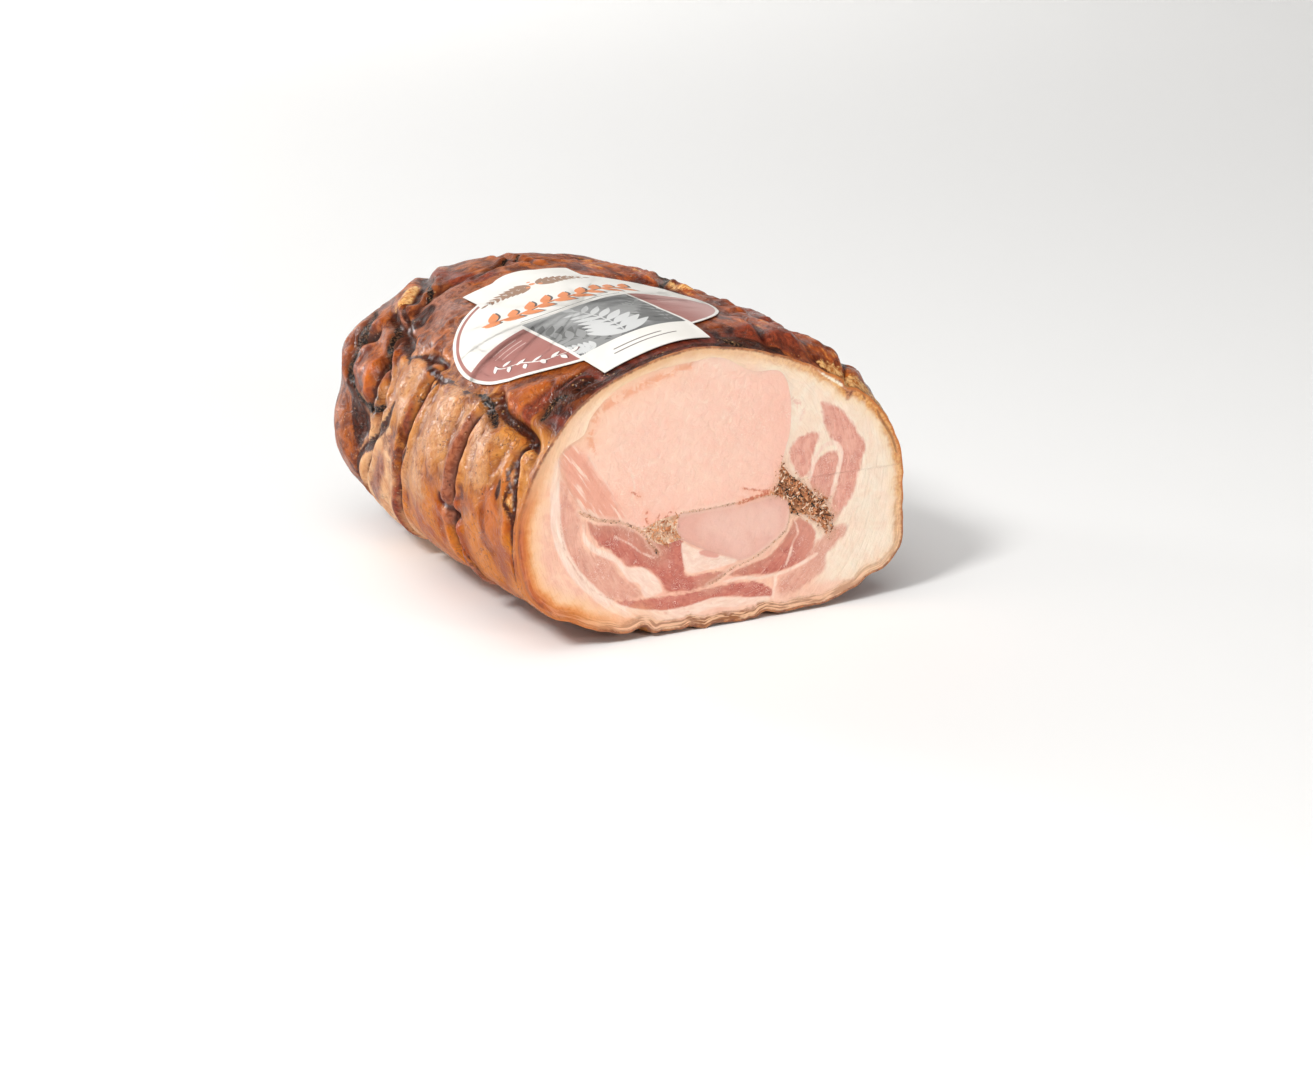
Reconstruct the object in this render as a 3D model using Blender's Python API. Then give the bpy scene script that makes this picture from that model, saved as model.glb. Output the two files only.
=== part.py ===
"""Half of a rolled roast pork (porchetta), as cut.

The roast lies along Y with its cut face at -Y and its tied end at +Y, and it
rests on Z = 0. Lengths below are millimetres and angles are degrees. An angle
runs round a section of the roast: 0 is +X, 90 is up and 180 is -X. "Depth" is
the distance behind the cut face.
"""

import bmesh
import bpy
import numpy as np

MM = 0.001

# The roast as a whole.
LENGTH = 257.0
END_LENGTH = 46.0
CENTRE_Z = 66.0
SHIFT_X = 2.095
SHIFT_Y = 0.966

# Rind line of the cut face, clockwise from the top, as (x, z).
RIND = (
    (-12, 136), (18, 132), (46, 122.5), (70, 110.5), (90, 94), (101, 72),
    (102.5, 45), (99.5, 21), (70, 4.5), (30, 0.5), (-20, 0.5), (-50, 4.5),
    (-80, 15), (-96, 30), (-101.5, 54), (-97, 76), (-85, 98), (-66, 118),
    (-40, 130),
)

# Lines of the cut face that the pieces inside the roll share, as (x, z).
LOIN_EDGE = (
    (-38, 53.5), (-50, 58.5), (-61, 62), (-70, 69), (-76, 80), (-80, 91),
    (-75, 97.5), (-67, 102), (-63, 110), (-52, 120), (-35, 126.5),
    (-15, 129), (2, 129.5), (18, 121.5), (33, 119.5), (38.5, 108),
    (39, 92), (36.5, 82), (34.5, 75),
)
RIGHT_HERB_EDGE = (
    (34.5, 75), (40, 68.5), (47, 63), (54, 56), (60, 50.5), (61.5, 45),
    (59, 39), (54, 46), (47, 49), (39.5, 50),
)
TENDERLOIN_EDGE = (
    (39.5, 50), (37, 42), (30, 37), (22, 33), (13, 31), (1, 36),
    (-8, 40), (-18.5, 46),
)
LEFT_HERB_EDGE = ((-18.5, 46), (-27, 44.5), (-33, 47.5), (-38, 53.5))
LOIN_ON_RIGHT_HERB = ((34.5, 75), (33, 66), (29.5, 60.8))
LOIN_ON_TENDERLOIN = ((29.5, 60.8), (15, 59.5), (-3, 58.5), (-19, 58))
LOIN_ON_LEFT_HERB = ((-19, 58), (-28, 57), (-38, 53.5))
TENDERLOIN_ON_RIGHT_HERB = ((29.5, 60.8), (37.5, 57.7), (39.5, 50))
TENDERLOIN_ON_LEFT_HERB = ((-18.5, 46), (-20.5, 52), (-19, 58))
INNER_DEPTH = 190.0
INNER_END_SCALE = 0.84
INNER_AXIS = (0.0, 72.0)
GAP = 0.3

# Three turns of the string press a ring into the roll: (angle, depth) round it.
RINGS = (
    ((0, 68), (50, 62), (100, 58), (151, 52), (163, 59), (176, 62),
     (190, 64), (215, 70), (290, 74)),
    ((0, 128), (50, 122), (110, 118), (150, 118), (165, 119), (177, 124),
     (190, 134), (206, 147), (235, 150), (300, 138)),
    ((0, 186), (50, 186), (100, 190), (140, 186), (155, 177), (166, 159),
     (175, 157), (184, 169), (196, 186), (215, 196), (300, 190)),
)
RING_DEPTHS = (4.6, 3.8, 3.4)

# The long crease that runs back from the cut face: (angle, depth).
LONG_CREASE = ((164, 2), (160, 12), (158, 25), (157, 38), (154, 47), (151.5, 56),
               (151, 87), (152, 121), (153.5, 150))

# Creases of the skin, each as (depth, width, lip, ((angle, depth), ...)).
CREASES = (
    (4.2, 2.8, 1.4, LONG_CREASE),
    (3.4, 2.4, 1.2, ((158, 14), (166, 16), (173, 12), (180, 7), (190, 6))),
    (2.6, 2.2, 1.0, ((186, 52), (187, 60), (186, 70), (184, 80))),
    (3.2, 2.6, 1.2, ((155, 152), (152, 166), (150, 184), (147, 206))),
    (6.0, 3.0, 1.6, ((157, 176), (163, 172), (170, 171), (175, 176))),
    (6.0, 3.0, 1.6, ((154, 196), (158, 208), (165, 206), (171, 200))),
    (3.4, 3.0, 1.4, ((101, 216), (100, 200), (98, 186), (94, 176))),
    (3.0, 3.0, 1.4, ((122, 236), (134, 206), (142, 190))),
    (2.8, 2.4, 1.6, ((143, 10), (133, 9), (120, 14), (106, 12))),
    (2.4, 3.4, 1.4, ((66, 4), (62, 40), (64, 90), (60, 150), (62, 205))),
    (3.0, 3.6, 1.6, ((47, 6), (49, 50), (45, 100), (48, 160), (44, 210))),
    (2.6, 3.2, 1.4, ((33, 3), (30, 45), (34, 95), (29, 150), (31, 200))),
    (2.2, 3.4, 1.2, ((14, 8), (17, 60), (12, 110), (16, 170))),
    (2.0, 3.2, 1.0, ((-8, 10), (-5, 70), (-9, 130), (-6, 190))),
)

# Lumps and hollows of the skin: (angle, depth, half width, half length, height).
LUMPS = (
    (151, 33, 9, 13, 3.0),
    (166, 189, 6, 17, 5.5),
    (181, 190, 8, 15, -9.0),
    (189, 212, 7, 14, 1.6),
    (163, 228, 12, 18, 5.5),
    (146, 167, 9, 12, -3.0),
    (168, 90, 16, 24, 2.6),
    (172, 36, 14, 18, 2.2),
    (166, 140, 9, 16, 2.4),
    (196, 98, 18, 30, 2.6),
    (209, 166, 18, 26, 3.5),
    (60, 140, 22, 52, 3.6),
    (32, 18, 14, 16, 3.0),
    (38, 70, 14, 30, 2.4),
)
# Folds gathered into the tied end, each as (angle, depth, half width).
PLEATS = ((11, 2.4, 5), (37, 5.0, 9), (72, 2.6, 6), (101, 4.2, 7), (143, 3.0, 10),
          (171, 4.8, 6), (203, 2.6, 5), (228, 4.6, 8), (271, 3.2, 9),
          (304, 4.4, 6), (338, 3.0, 8))

# Paper label: a round sheet crossed by a long panel with an arched far end.
LABEL_ANGLE = 111.0
LABEL_DEPTH = 86.0
LABEL_TURN = 0.0
LABEL_RADIUS = 66.0
PANEL_HALF_WIDTH = 29.0
PANEL_NEAR = 77.0
PANEL_FAR = 78.0
ARCH_HALF_WIDTH = 12.0
ARCH_RISE = 5.0
LABEL_LIFT = 0.6
LABEL_THICKNESS = 0.6

COLUMNS = 118
ROWS_PER_BAND = (10, 10, 10, 6)
END_ROWS = 11


def smooth(x, low, high):
    """0 below low and 1 above high, with a smooth rise between them."""
    t = np.clip((x - low) / (high - low), 0.0, 1.0)
    return t * t * (3.0 - 2.0 * t)


def turn(angle, centre):
    """The signed angle from centre, wrapped to half a turn each way."""
    return (angle - centre + 180.0) % 360.0 - 180.0


def hump(angle, centre, width):
    return np.exp(-(turn(angle, centre) / width) ** 2)


def curve(points, per_span, closed=False):
    """A Catmull-Rom curve through the points."""
    p = np.array(points, float)
    if closed:
        p = np.vstack([p[-1], p, p[:2]])
    else:
        p = np.vstack([2 * p[0] - p[1], p, 2 * p[-1] - p[-2]])
    t = (np.arange(per_span) / per_span)[:, None]
    spans = []
    for a, b, c, d in zip(p, p[1:], p[2:], p[3:]):
        spans.append(
            b + t * (c - a) / 2 + t**2 * (a - 2.5 * b + 2 * c - d / 2)
            + t**3 * (1.5 * b - a / 2 - 1.5 * c + d / 2)
        )
    line = np.vstack(spans)
    return line if closed else np.vstack([line, p[-2]])


def periodic(points, angle):
    """A value round the roast, through (angle, value) points."""
    a, value = np.array(points, float).T
    a = np.concatenate([a[-2:] - 360, a, a[:2] + 360])
    value = np.concatenate([value[-2:], value, value[:2]])
    line = curve(np.stack([a, value], 1), 12)
    return np.interp(np.asarray(angle) % 360.0, line[:, 0], line[:, 1])


def lattice_noise(p, size, seed):
    """Smooth noise from -1 to 1, with features about size across."""
    q = np.asarray(p, float) / size + seed * 17.13
    cell = np.floor(q).astype(np.int64)
    f = q - cell
    f = f * f * (3.0 - 2.0 * f)
    total = 0.0
    for corner in np.ndindex(2, 2, 2):
        c = cell + np.array(corner)
        h = c[..., 0] * 73856093 ^ c[..., 1] * 19349663 ^ c[..., 2] * 83492791
        h = (h ^ (h >> 13)) * 1274126177 & 0xFFFFFF
        share = np.where(np.array(corner) == 1, f, 1.0 - f).prod(-1)
        total = total + share * (h / 0x7FFFFF - 1.0)
    return total


def rind_table():
    line = curve(RIND, 12, closed=True) - (0.0, CENTRE_Z)
    angle = np.degrees(np.arctan2(line[:, 1], line[:, 0])) % 360.0
    order = np.argsort(angle)
    angle = angle[order]
    radius = np.hypot(line[:, 0], line[:, 1])[order]
    return np.append(angle, angle[0] + 360), np.append(radius, radius[0])


RIND_ANGLES, RIND_RADII = rind_table()


def section_radius(angle, depth):
    """Radius of the roll without its creases, at an angle and a depth."""
    first = RIND_ANGLES[0]
    r = np.interp((angle - first) % 360.0 + first, RIND_ANGLES, RIND_RADII)
    near = smooth(depth, 0, 22)
    r = r + 8.5 * hump(angle, 48, 32) * near * (1 - 0.3 * smooth(depth, 60, 160))
    r = r + 4.0 * hump(angle, 112, 40) * smooth(depth, 0, 40)
    r = r + 6.0 * hump(angle, 158, 28) * smooth(depth, 15, 50)
    r = r - 2.0 * hump(angle, 100, 38) * smooth(depth, 190, 230)
    edge = 1 - smooth(depth, 2, 16)
    for centre, width, height in ((238, 2.6, 4.0), (258, 2.0, 1.6), (293, 3.0, 3.0),
                                  (31.5, 1.8, 3.0), (215, 3.0, 2.2), (327, 2.6, 2.0)):
        r = r - height * hump(angle, centre, width) * edge
    return r


def body(angle, along):
    """Points of the smooth roll. Along is the depth up to the rounded end,
    and from there one more unit of it is one degree of the end's quarter turn."""
    straight = LENGTH - END_LENGTH
    quarter = np.radians(np.clip(along - straight, 0, 90))
    depth = np.minimum(along, straight) + END_LENGTH * np.sin(quarter) ** (2 / 3)
    scale = np.clip(np.cos(quarter), 0, 1) ** (2 / 2.2)
    r = section_radius(angle, depth) * scale
    a = np.radians(angle)
    return np.stack([r * np.cos(a), depth - LENGTH / 2 + 0 * r,
                     CENTRE_Z + r * np.sin(a)], -1)


def body_normal(angle, along):
    across = body(angle + 0.5, along) - body(angle - 0.5, along)
    back = body(angle, np.minimum(along + 0.5, LENGTH - END_LENGTH + 89.4))
    back = back - body(angle, np.maximum(along - 0.5, 0))
    n = np.cross(back, across)
    return n / np.maximum(np.linalg.norm(n, axis=-1, keepdims=True), 1e-9)


def label_place(angle, depth):
    """Place of a skin point on the label's own sheet: across it and along it."""
    line = np.arange(LABEL_ANGLE - 75.0, LABEL_ANGLE + 75.1, 1.0)
    p = body(line, np.full_like(line, LABEL_DEPTH))
    run = np.append(0, np.cumsum(np.linalg.norm(np.diff(p, axis=0), axis=1)))
    run = run - np.interp(LABEL_ANGLE, line, run)
    u = np.interp(LABEL_ANGLE + turn(angle, LABEL_ANGLE), line, run)
    w = depth - LABEL_DEPTH
    c, s = np.cos(np.radians(LABEL_TURN)), np.sin(np.radians(LABEL_TURN))
    return c * u - s * w, s * u + c * w


def skin_place(u, w):
    """The angle and depth of a point of the label's sheet."""
    c, s = np.cos(np.radians(LABEL_TURN)), np.sin(np.radians(LABEL_TURN))
    u, w = c * u + s * w, c * w - s * u
    line = np.arange(LABEL_ANGLE - 75.0, LABEL_ANGLE + 75.1, 1.0)
    p = body(line, np.full_like(line, LABEL_DEPTH))
    run = np.append(0, np.cumsum(np.linalg.norm(np.diff(p, axis=0), axis=1)))
    run = run - np.interp(LABEL_ANGLE, line, run)
    return np.interp(u, run, line), w + LABEL_DEPTH


def under_label(angle, depth):
    """1 under the label and 0 clear of it."""
    u, w = label_place(angle, depth)
    disc = LABEL_RADIUS - np.hypot(u, w)
    panel = np.minimum(PANEL_HALF_WIDTH - np.abs(u),
                       np.minimum(w + PANEL_NEAR, PANEL_FAR + ARCH_RISE - w))
    return smooth(np.maximum(disc, panel), -11, -2)


def crease_profile(distance, width, lip):
    groove = np.exp(-(distance / width) ** 2)
    bank = np.exp(-((distance - 2.3 * width) / (1.1 * width)) ** 2)
    return groove, lip * bank


def line_distance(angle, depth, points):
    """Millimetres to a line on the skin, and how far along the line that is."""
    line = curve(points, 4)
    best = np.full(np.shape(angle), 1e9)
    place = np.zeros(np.shape(angle))
    count = len(line) - 1
    for i in range(count):
        scale = np.radians(88.0)
        ax = turn(angle, line[i, 0]) * scale
        ay = depth - line[i, 1]
        bx = (line[i + 1, 0] - line[i, 0]) * scale
        by = line[i + 1, 1] - line[i, 1]
        t = np.clip((ax * bx + ay * by) / (bx * bx + by * by), 0, 1)
        d = np.hypot(ax - t * bx, ay - t * by)
        closer = d < best
        best = np.where(closer, d, best)
        place = np.where(closer, (i + t) / count, place)
    return best, place


def relief(angle, along, points):
    """Height of the skin over the smooth roll."""
    straight = LENGTH - END_LENGTH
    depth = np.minimum(along, straight) + 0.8 * np.maximum(along - straight, 0)
    flank = hump(angle, 182, 42)
    top_right = hump(angle, 25, 55)
    height = np.zeros(np.shape(angle))
    waver = 2.2 * lattice_noise(points, 23.0, 3)
    for ring, deep in zip(RINGS, RING_DEPTHS):
        d = np.abs(depth + waver - periodic(ring, angle))
        groove, bank = crease_profile(d, 3.0, 1.5)
        share = 0.22 + 0.78 * flank + 0.2 * top_right
        height = height + share * (bank - deep * groove)
        height = height + 1.4 * share * np.exp(-((d - 26) / 16.0) ** 2)
    for deep, width, lip, line in CREASES:
        d, place = line_distance(angle, depth + 0.6 * waver, line)
        ends = smooth(place, -0.01, 0.12) * (1 - smooth(place, 0.88, 1.01))
        groove, bank = crease_profile(d, width, lip)
        height = height + ends * (bank - deep * groove)
    for centre, middle, half_width, half_length, up in LUMPS:
        d = (turn(angle, centre) / half_width) ** 2
        d = d + ((depth - middle) / half_length) ** 2
        height = height + up * np.exp(-d)
    rounding = smooth(along, straight - 6, straight + 24)
    for centre, deep, width in PLEATS:
        bend = 9.0 * np.sin(np.radians(along - straight)) * np.cos(centre)
        height = height - deep * rounding * hump(angle, centre + bend, width)
    knot = smooth(along, straight + 68, straight + 88)
    height = height * (1 - knot) - 7.0 * knot
    height = height + 0.9 * lattice_noise(points, 26.0, 1)
    height = height + 0.5 * lattice_noise(points, 11.0, 2) * (0.4 + 0.6 * flank)
    height = height * (1 - 0.93 * under_label(angle, depth))
    seat = np.exp(-(turn(angle, 272) / 34.0) ** 4) * (1 - rounding)
    height = height * (1 - 0.85 * seat) + 1.7 * seat
    return height * smooth(along, 0, 9)


def even_relief(angle, along):
    """The relief averaged over a patch the size of the mesh's own faces."""
    total = 0.0
    for turned, moved in ((0, 0), (1.1, 0), (-1.1, 0), (0, 1.8), (0, -1.8)):
        a = angle + turned
        b = np.where(along > 0, np.maximum(along + moved, 0), along)
        total = total + relief(a, b, body(a, b))
    return total / 5.0


def skin(angle, along):
    """Points of the roast's outside. It rests flat where it reaches the table."""
    p = body(angle, along)
    p = p + even_relief(angle, along)[..., None] * body_normal(angle, along)
    p[..., 1] = np.where(along <= 0, -LENGTH / 2, p[..., 1])
    p[..., 2] = np.maximum(p[..., 2], 0.0)
    return p


def column_angles(count):
    """Angles of the mesh columns, closest on the flank with the most creases."""
    fine = np.linspace(0, 360, 1441)
    weight = 1.0 + 1.3 * hump(fine, 168, 34) - 0.35 * hump(fine, 275, 40)
    run = np.append(0, np.cumsum((weight[1:] + weight[:-1]) / 2))
    return np.interp(np.arange(count) / count, run / run[-1], fine)


def row_depths(angles):
    """Depths of the mesh rows at each angle. They follow the string rings."""
    lines = [np.zeros_like(angles)]
    lines += [periodic(ring, angles) for ring in RINGS]
    lines.append(np.full_like(angles, LENGTH - END_LENGTH))
    rows = []
    for near, far, count in zip(lines, lines[1:], ROWS_PER_BAND):
        for t in np.arange(count) / count:
            t = 0.35 * t + 0.65 * (0.5 - 0.5 * np.cos(np.pi * t))
            rows.append(near + t * (far - near))
    for t in np.linspace(0, 1, END_ROWS + 1)[:-1]:
        rows.append(lines[-1] + 86.0 * t**0.9)
    return np.array(rows)


def new_material(name, colour, roughness):
    material = bpy.data.materials.new(name)
    material.use_nodes = True
    shader = material.node_tree.nodes["Principled BSDF"]
    shader.inputs["Base Color"].default_value = (*colour, 1.0)
    shader.inputs["Roughness"].default_value = roughness
    return material


def new_object(name, points, faces, material=None):
    """A mesh object from points in millimetres, with its normals facing out."""
    moved = np.asarray(points, float) + (SHIFT_X, SHIFT_Y, 0.0)
    mesh = bpy.data.meshes.new(name)
    mesh.from_pydata((moved * MM).tolist(), [], faces)
    work = bmesh.new()
    work.from_mesh(mesh)
    bmesh.ops.recalc_face_normals(work, faces=work.faces)
    work.to_mesh(mesh)
    work.free()
    mesh.update()
    obj = bpy.data.objects.new(name, mesh)
    bpy.context.scene.collection.objects.link(obj)
    if material is not None:
        mesh.materials.append(material)
    return obj


def offset(points, amount):
    """A closed line moved outwards by amount, or inwards if it is negative."""
    p = np.asarray(points, float)
    back = p - np.roll(p, 1, axis=0)
    ahead = np.roll(p, -1, axis=0) - p
    turned = []
    for d in (back, ahead):
        d = d / np.linalg.norm(d, axis=1, keepdims=True)
        turned.append(np.stack([d[:, 1], -d[:, 0]], 1))
    area = np.sum(p[:, 0] * np.roll(p[:, 1], -1) - np.roll(p[:, 0], -1) * p[:, 1])
    side = turned[0] + turned[1]
    side = side / np.maximum(np.sum(side * side, axis=1, keepdims=True), 0.5) * 2
    return p + side * amount * np.sign(area)


def joined(*lines):
    """One closed outline from lines that meet end to end."""
    return np.vstack([line[:-1] for line in lines])


def inner_lines(per_span):
    """The outlines of the pieces in the roll and of the space round them."""
    loin = curve(LOIN_EDGE, per_span)
    right = curve(RIGHT_HERB_EDGE, per_span)
    fillet = curve(TENDERLOIN_EDGE, per_span)
    left = curve(LEFT_HERB_EDGE, per_span)
    loin_right = curve(LOIN_ON_RIGHT_HERB, per_span)
    loin_fillet = curve(LOIN_ON_TENDERLOIN, per_span)
    loin_left = curve(LOIN_ON_LEFT_HERB, per_span)
    fillet_right = curve(TENDERLOIN_ON_RIGHT_HERB, per_span)
    fillet_left = curve(TENDERLOIN_ON_LEFT_HERB, per_span)
    return {
        "loin": joined(loin, loin_right, loin_fillet, loin_left),
        "herb_seasoning_right": joined(right, fillet_right[::-1], loin_right[::-1]),
        "tenderloin": joined(fillet, fillet_left, loin_fillet[::-1], fillet_right),
        "herb_seasoning_left": joined(left, loin_left[::-1], fillet_left[::-1]),
        "space": joined(loin, right, fillet, left),
    }


def prism(outline, near_depth, far_depth):
    """Points and faces of a bar behind the cut face that narrows inwards."""
    count = len(outline)
    points = []
    for depth in (near_depth, far_depth):
        scale = 1 - (1 - INNER_END_SCALE) * depth / INNER_DEPTH
        ring = (outline - INNER_AXIS) * scale + INNER_AXIS
        points += [(x, depth - LENGTH / 2, z) for x, z in ring]
    faces = [list(range(count)), list(range(2 * count - 1, count - 1, -1))]
    for i in range(count):
        j = (i + 1) % count
        faces.append([i, i + count, j + count, j])
    return points, faces


def lean(angles, rows):
    """Column angles bent to follow the long crease."""
    place, depth = np.array(LONG_CREASE, float).T
    drift = np.interp(rows, depth, place) - place[4]
    near = np.clip(1 - np.abs(turn(angles, place[4])) / 30.0, 0, 1)
    return angles + drift * near**2 * (3 - 2 * near)


def split(a, b, c, d, points):
    """Two triangles of a four-sided face, split along its shorter diagonal."""
    if np.linalg.norm(points[a] - points[c]) < np.linalg.norm(points[b] - points[d]):
        return [[a, b, c], [a, c, d]]
    return [[a, b, d], [b, c, d]]


def build_belly():
    angles = column_angles(COLUMNS)
    rows = row_depths(angles)
    points = skin(lean(angles, rows), rows).reshape(-1, 3)
    last = len(rows) - 1
    pole = skin(np.array([90.0]), np.array([LENGTH - END_LENGTH + 89.4]))[0]
    pole[0] = 0.0
    pole[2] = CENTRE_Z
    points = np.vstack([points, pole])
    faces = [list(range(COLUMNS))]
    for j in range(last):
        for i in range(COLUMNS):
            k = (i + 1) % COLUMNS
            a, b = j * COLUMNS + i, j * COLUMNS + k
            faces += split(a, b, b + COLUMNS, a + COLUMNS, points)
    for i in range(COLUMNS):
        k = (i + 1) % COLUMNS
        faces.append([last * COLUMNS + i, last * COLUMNS + k, len(points) - 1])
    rind = new_material("roast_pork", (0.50, 0.21, 0.06), 0.35)
    return new_object("belly", points, faces, rind)


def build_inner(belly):
    lines = inner_lines(2)
    meat = new_material("lean_meat", (0.78, 0.50, 0.42), 0.45)
    fillet = new_material("tender_meat", (0.72, 0.47, 0.42), 0.45)
    herbs = new_material("herb_seasoning", (0.36, 0.23, 0.13), 0.8)
    materials = {
        "loin": meat,
        "tenderloin": fillet,
        "herb_seasoning_right": herbs,
        "herb_seasoning_left": herbs,
    }
    for name, material in materials.items():
        outline = offset(lines[name], -GAP / 2)
        new_object(name, *prism(outline, 0.0, INNER_DEPTH), material)
    outline = offset(lines["space"], GAP / 2)
    cutter = new_object("cutter", *prism(outline, -5.0, INNER_DEPTH + GAP))
    cutter.hide_render = True
    cutter.display_type = "WIRE"
    cut = belly.modifiers.new("hollow", "BOOLEAN")
    cut.operation = "DIFFERENCE"
    cut.solver = "EXACT"
    cut.object = cutter


def label_reach(direction):
    """How far the label reaches from its middle, in a direction on its sheet."""
    s, c = np.sin(direction), np.cos(direction)
    side = PANEL_HALF_WIDTH / max(abs(s), 1e-9)
    end = (PANEL_FAR if c > 0 else PANEL_NEAR) / max(abs(c), 1e-9)
    reach = max(LABEL_RADIUS, min(side, end))
    if c > 0 and abs(s) * PANEL_FAR / c < ARCH_HALF_WIDTH:
        radius = (ARCH_HALF_WIDTH**2 + ARCH_RISE**2) / (2 * ARCH_RISE)
        middle = PANEL_FAR + ARCH_RISE - radius
        half = np.sqrt(radius**2 - (middle * s) ** 2)
        reach = max(reach, middle * c + half)
    return reach


def label_directions():
    """Directions round the label that include each of its corners."""
    corners = [np.arctan2(ARCH_HALF_WIDTH, PANEL_FAR),
               np.arctan2(PANEL_HALF_WIDTH, PANEL_FAR),
               np.arcsin(PANEL_HALF_WIDTH / LABEL_RADIUS),
               np.pi - np.arcsin(PANEL_HALF_WIDTH / LABEL_RADIUS),
               np.pi - np.arctan2(PANEL_HALF_WIDTH, PANEL_NEAR)]
    stops = [0.0] + corners + [np.pi]
    counts = (3, 3, 3, 13, 3, 4)
    half = []
    for a, b, count in zip(stops, stops[1:], counts):
        half += list(a + (b - a) * np.arange(count) / count)
    return np.array(half + [np.pi] + [-a for a in reversed(half[1:])])


def build_label():
    directions = label_directions()
    reach = np.array([label_reach(a) for a in directions])
    steps = np.array([0.15, 0.3, 0.45, 0.6, 0.74, 0.87, 1.0])
    count = len(directions)
    u = np.append(0, np.outer(steps, reach * np.sin(directions)))
    w = np.append(0, np.outer(steps, reach * np.cos(directions)))
    angle, depth = skin_place(u, w)
    base = skin(angle, depth)
    normal = body_normal(angle, depth)
    lower = base + LABEL_LIFT * normal
    upper = base + (LABEL_LIFT + LABEL_THICKNESS) * normal
    points = np.vstack([lower, upper])
    size = len(u)
    faces = []
    for layer, start in enumerate((0, size)):
        for i in range(count):
            k = (i + 1) % count
            faces.append([start, start + 1 + i, start + 1 + k])
            for j in range(len(steps) - 1):
                a = start + 1 + j * count
                faces.append([a + i, a + count + i, a + count + k, a + k])
    rim = 1 + (len(steps) - 1) * count
    for i in range(count):
        k = (i + 1) % count
        faces.append([rim + i, rim + k, rim + k + size, rim + i + size])
    paper = new_material("label_paper", (0.86, 0.84, 0.79), 0.35)
    label = new_object("label", points, faces, paper)
    return label


def main():
    for old in list(bpy.data.objects):
        bpy.data.objects.remove(old, do_unlink=True)
    belly = build_belly()
    build_inner(belly)
    label = build_label()
    for obj in (belly, label):
        for face in obj.data.polygons:
            face.use_smooth = len(face.vertices) < 5


main()
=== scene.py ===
"""How the half porchetta looks: skin, cut face, seasoning and label.

Lengths are millimetres until a mesh is made, and angles are degrees. An angle
runs round a section of the roast: 0 is +X, 90 is up and 180 is -X. "Depth" is
the distance behind the cut face.
"""

import bmesh
import bpy
import numpy as np
from mathutils import Matrix, Vector
from mathutils.geometry import delaunay_2d_cdt

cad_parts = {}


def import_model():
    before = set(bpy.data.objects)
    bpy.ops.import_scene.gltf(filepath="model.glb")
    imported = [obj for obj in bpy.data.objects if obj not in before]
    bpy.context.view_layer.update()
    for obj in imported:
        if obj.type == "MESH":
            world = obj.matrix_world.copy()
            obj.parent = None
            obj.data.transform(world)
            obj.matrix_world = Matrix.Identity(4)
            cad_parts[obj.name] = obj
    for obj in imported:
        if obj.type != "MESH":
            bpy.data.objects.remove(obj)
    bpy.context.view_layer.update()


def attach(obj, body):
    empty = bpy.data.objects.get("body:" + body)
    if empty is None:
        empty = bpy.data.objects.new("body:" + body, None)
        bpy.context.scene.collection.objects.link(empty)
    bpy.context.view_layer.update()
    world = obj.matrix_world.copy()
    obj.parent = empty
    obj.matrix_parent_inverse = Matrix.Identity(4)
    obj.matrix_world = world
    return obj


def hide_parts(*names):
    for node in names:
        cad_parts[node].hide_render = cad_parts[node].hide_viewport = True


MM = 0.001
# Distances for places that are near no line, or outside every mark.
FAR_AWAY = 1e9
UNMARKED = -9.0

# The roast as a whole.
LENGTH = 257.0
END_LENGTH = 46.0
STRAIGHT = LENGTH - END_LENGTH
END_LIMIT = STRAIGHT + 89.4
CENTRE_Z = 66.0
# Usual radii of the skin and of the cut face's layers.
SKIN_RADIUS = 88.0
LAYER_RADIUS = 70.0
SHIFT_X = 2.095
SHIFT_Y = 0.966

# Rind line of the cut face, clockwise from the top, as (x, z).
RIND = (
    (-12, 136), (18, 132), (46, 122.5), (70, 110.5), (90, 94), (101, 72), (102.5, 45), (99.5, 21),
    (70, 4.5), (30, 0.5), (-20, 0.5), (-50, 4.5), (-80, 15), (-96, 30), (-101.5, 54), (-97, 76),
    (-85, 98), (-66, 118), (-40, 130),
)

# Swellings of the roll: (angle, width, height, depth where it starts, depth where it is full).
SWELLS = ((112, 40, 4.0, 0, 40), (158, 28, 6.0, 15, 50), (100, 38, -2.0, 190, 230))
# Notches of the cut's edge: (angle, width, how deep).
NOTCHES = ((238, 2.6, 4.0), (258, 2.0, 1.6), (293, 3.0, 3.0), (31.5, 1.8, 3.0), (215, 3.0, 2.2),
           (327, 2.6, 2.0))

# Outer and shared edges of the pieces inside the roll, each a line of (x, z).
INNER_EDGES = {
    "loin": (
        (-38, 53.5), (-50, 58.5), (-61, 62), (-70, 69), (-76, 80), (-80, 91), (-75, 97.5), (-67, 102),
        (-63, 110), (-52, 120), (-35, 126.5), (-15, 129), (2, 129.5), (18, 121.5), (33, 119.5),
        (38.5, 108), (39, 92), (36.5, 82), (34.5, 75),
    ),
    "right": (
        (34.5, 75), (40, 68.5), (47, 63), (54, 56), (60, 50.5), (61.5, 45), (59, 39), (54, 46), (47, 49),
        (39.5, 50),
    ),
    "fillet": ((39.5, 50), (37, 42), (30, 37), (22, 33), (13, 31), (1, 36), (-8, 40), (-18.5, 46)),
    "left": ((-18.5, 46), (-27, 44.5), (-33, 47.5), (-38, 53.5)),
    "loin_right": ((34.5, 75), (33, 66), (29.5, 60.8)),
    "loin_fillet": ((29.5, 60.8), (15, 59.5), (-3, 58.5), (-19, 58)),
    "loin_left": ((-19, 58), (-28, 57), (-38, 53.5)),
    "fillet_right": ((29.5, 60.8), (37.5, 57.7), (39.5, 50)),
    "fillet_left": ((-18.5, 46), (-20.5, 52), (-19, 58)),
}
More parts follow.
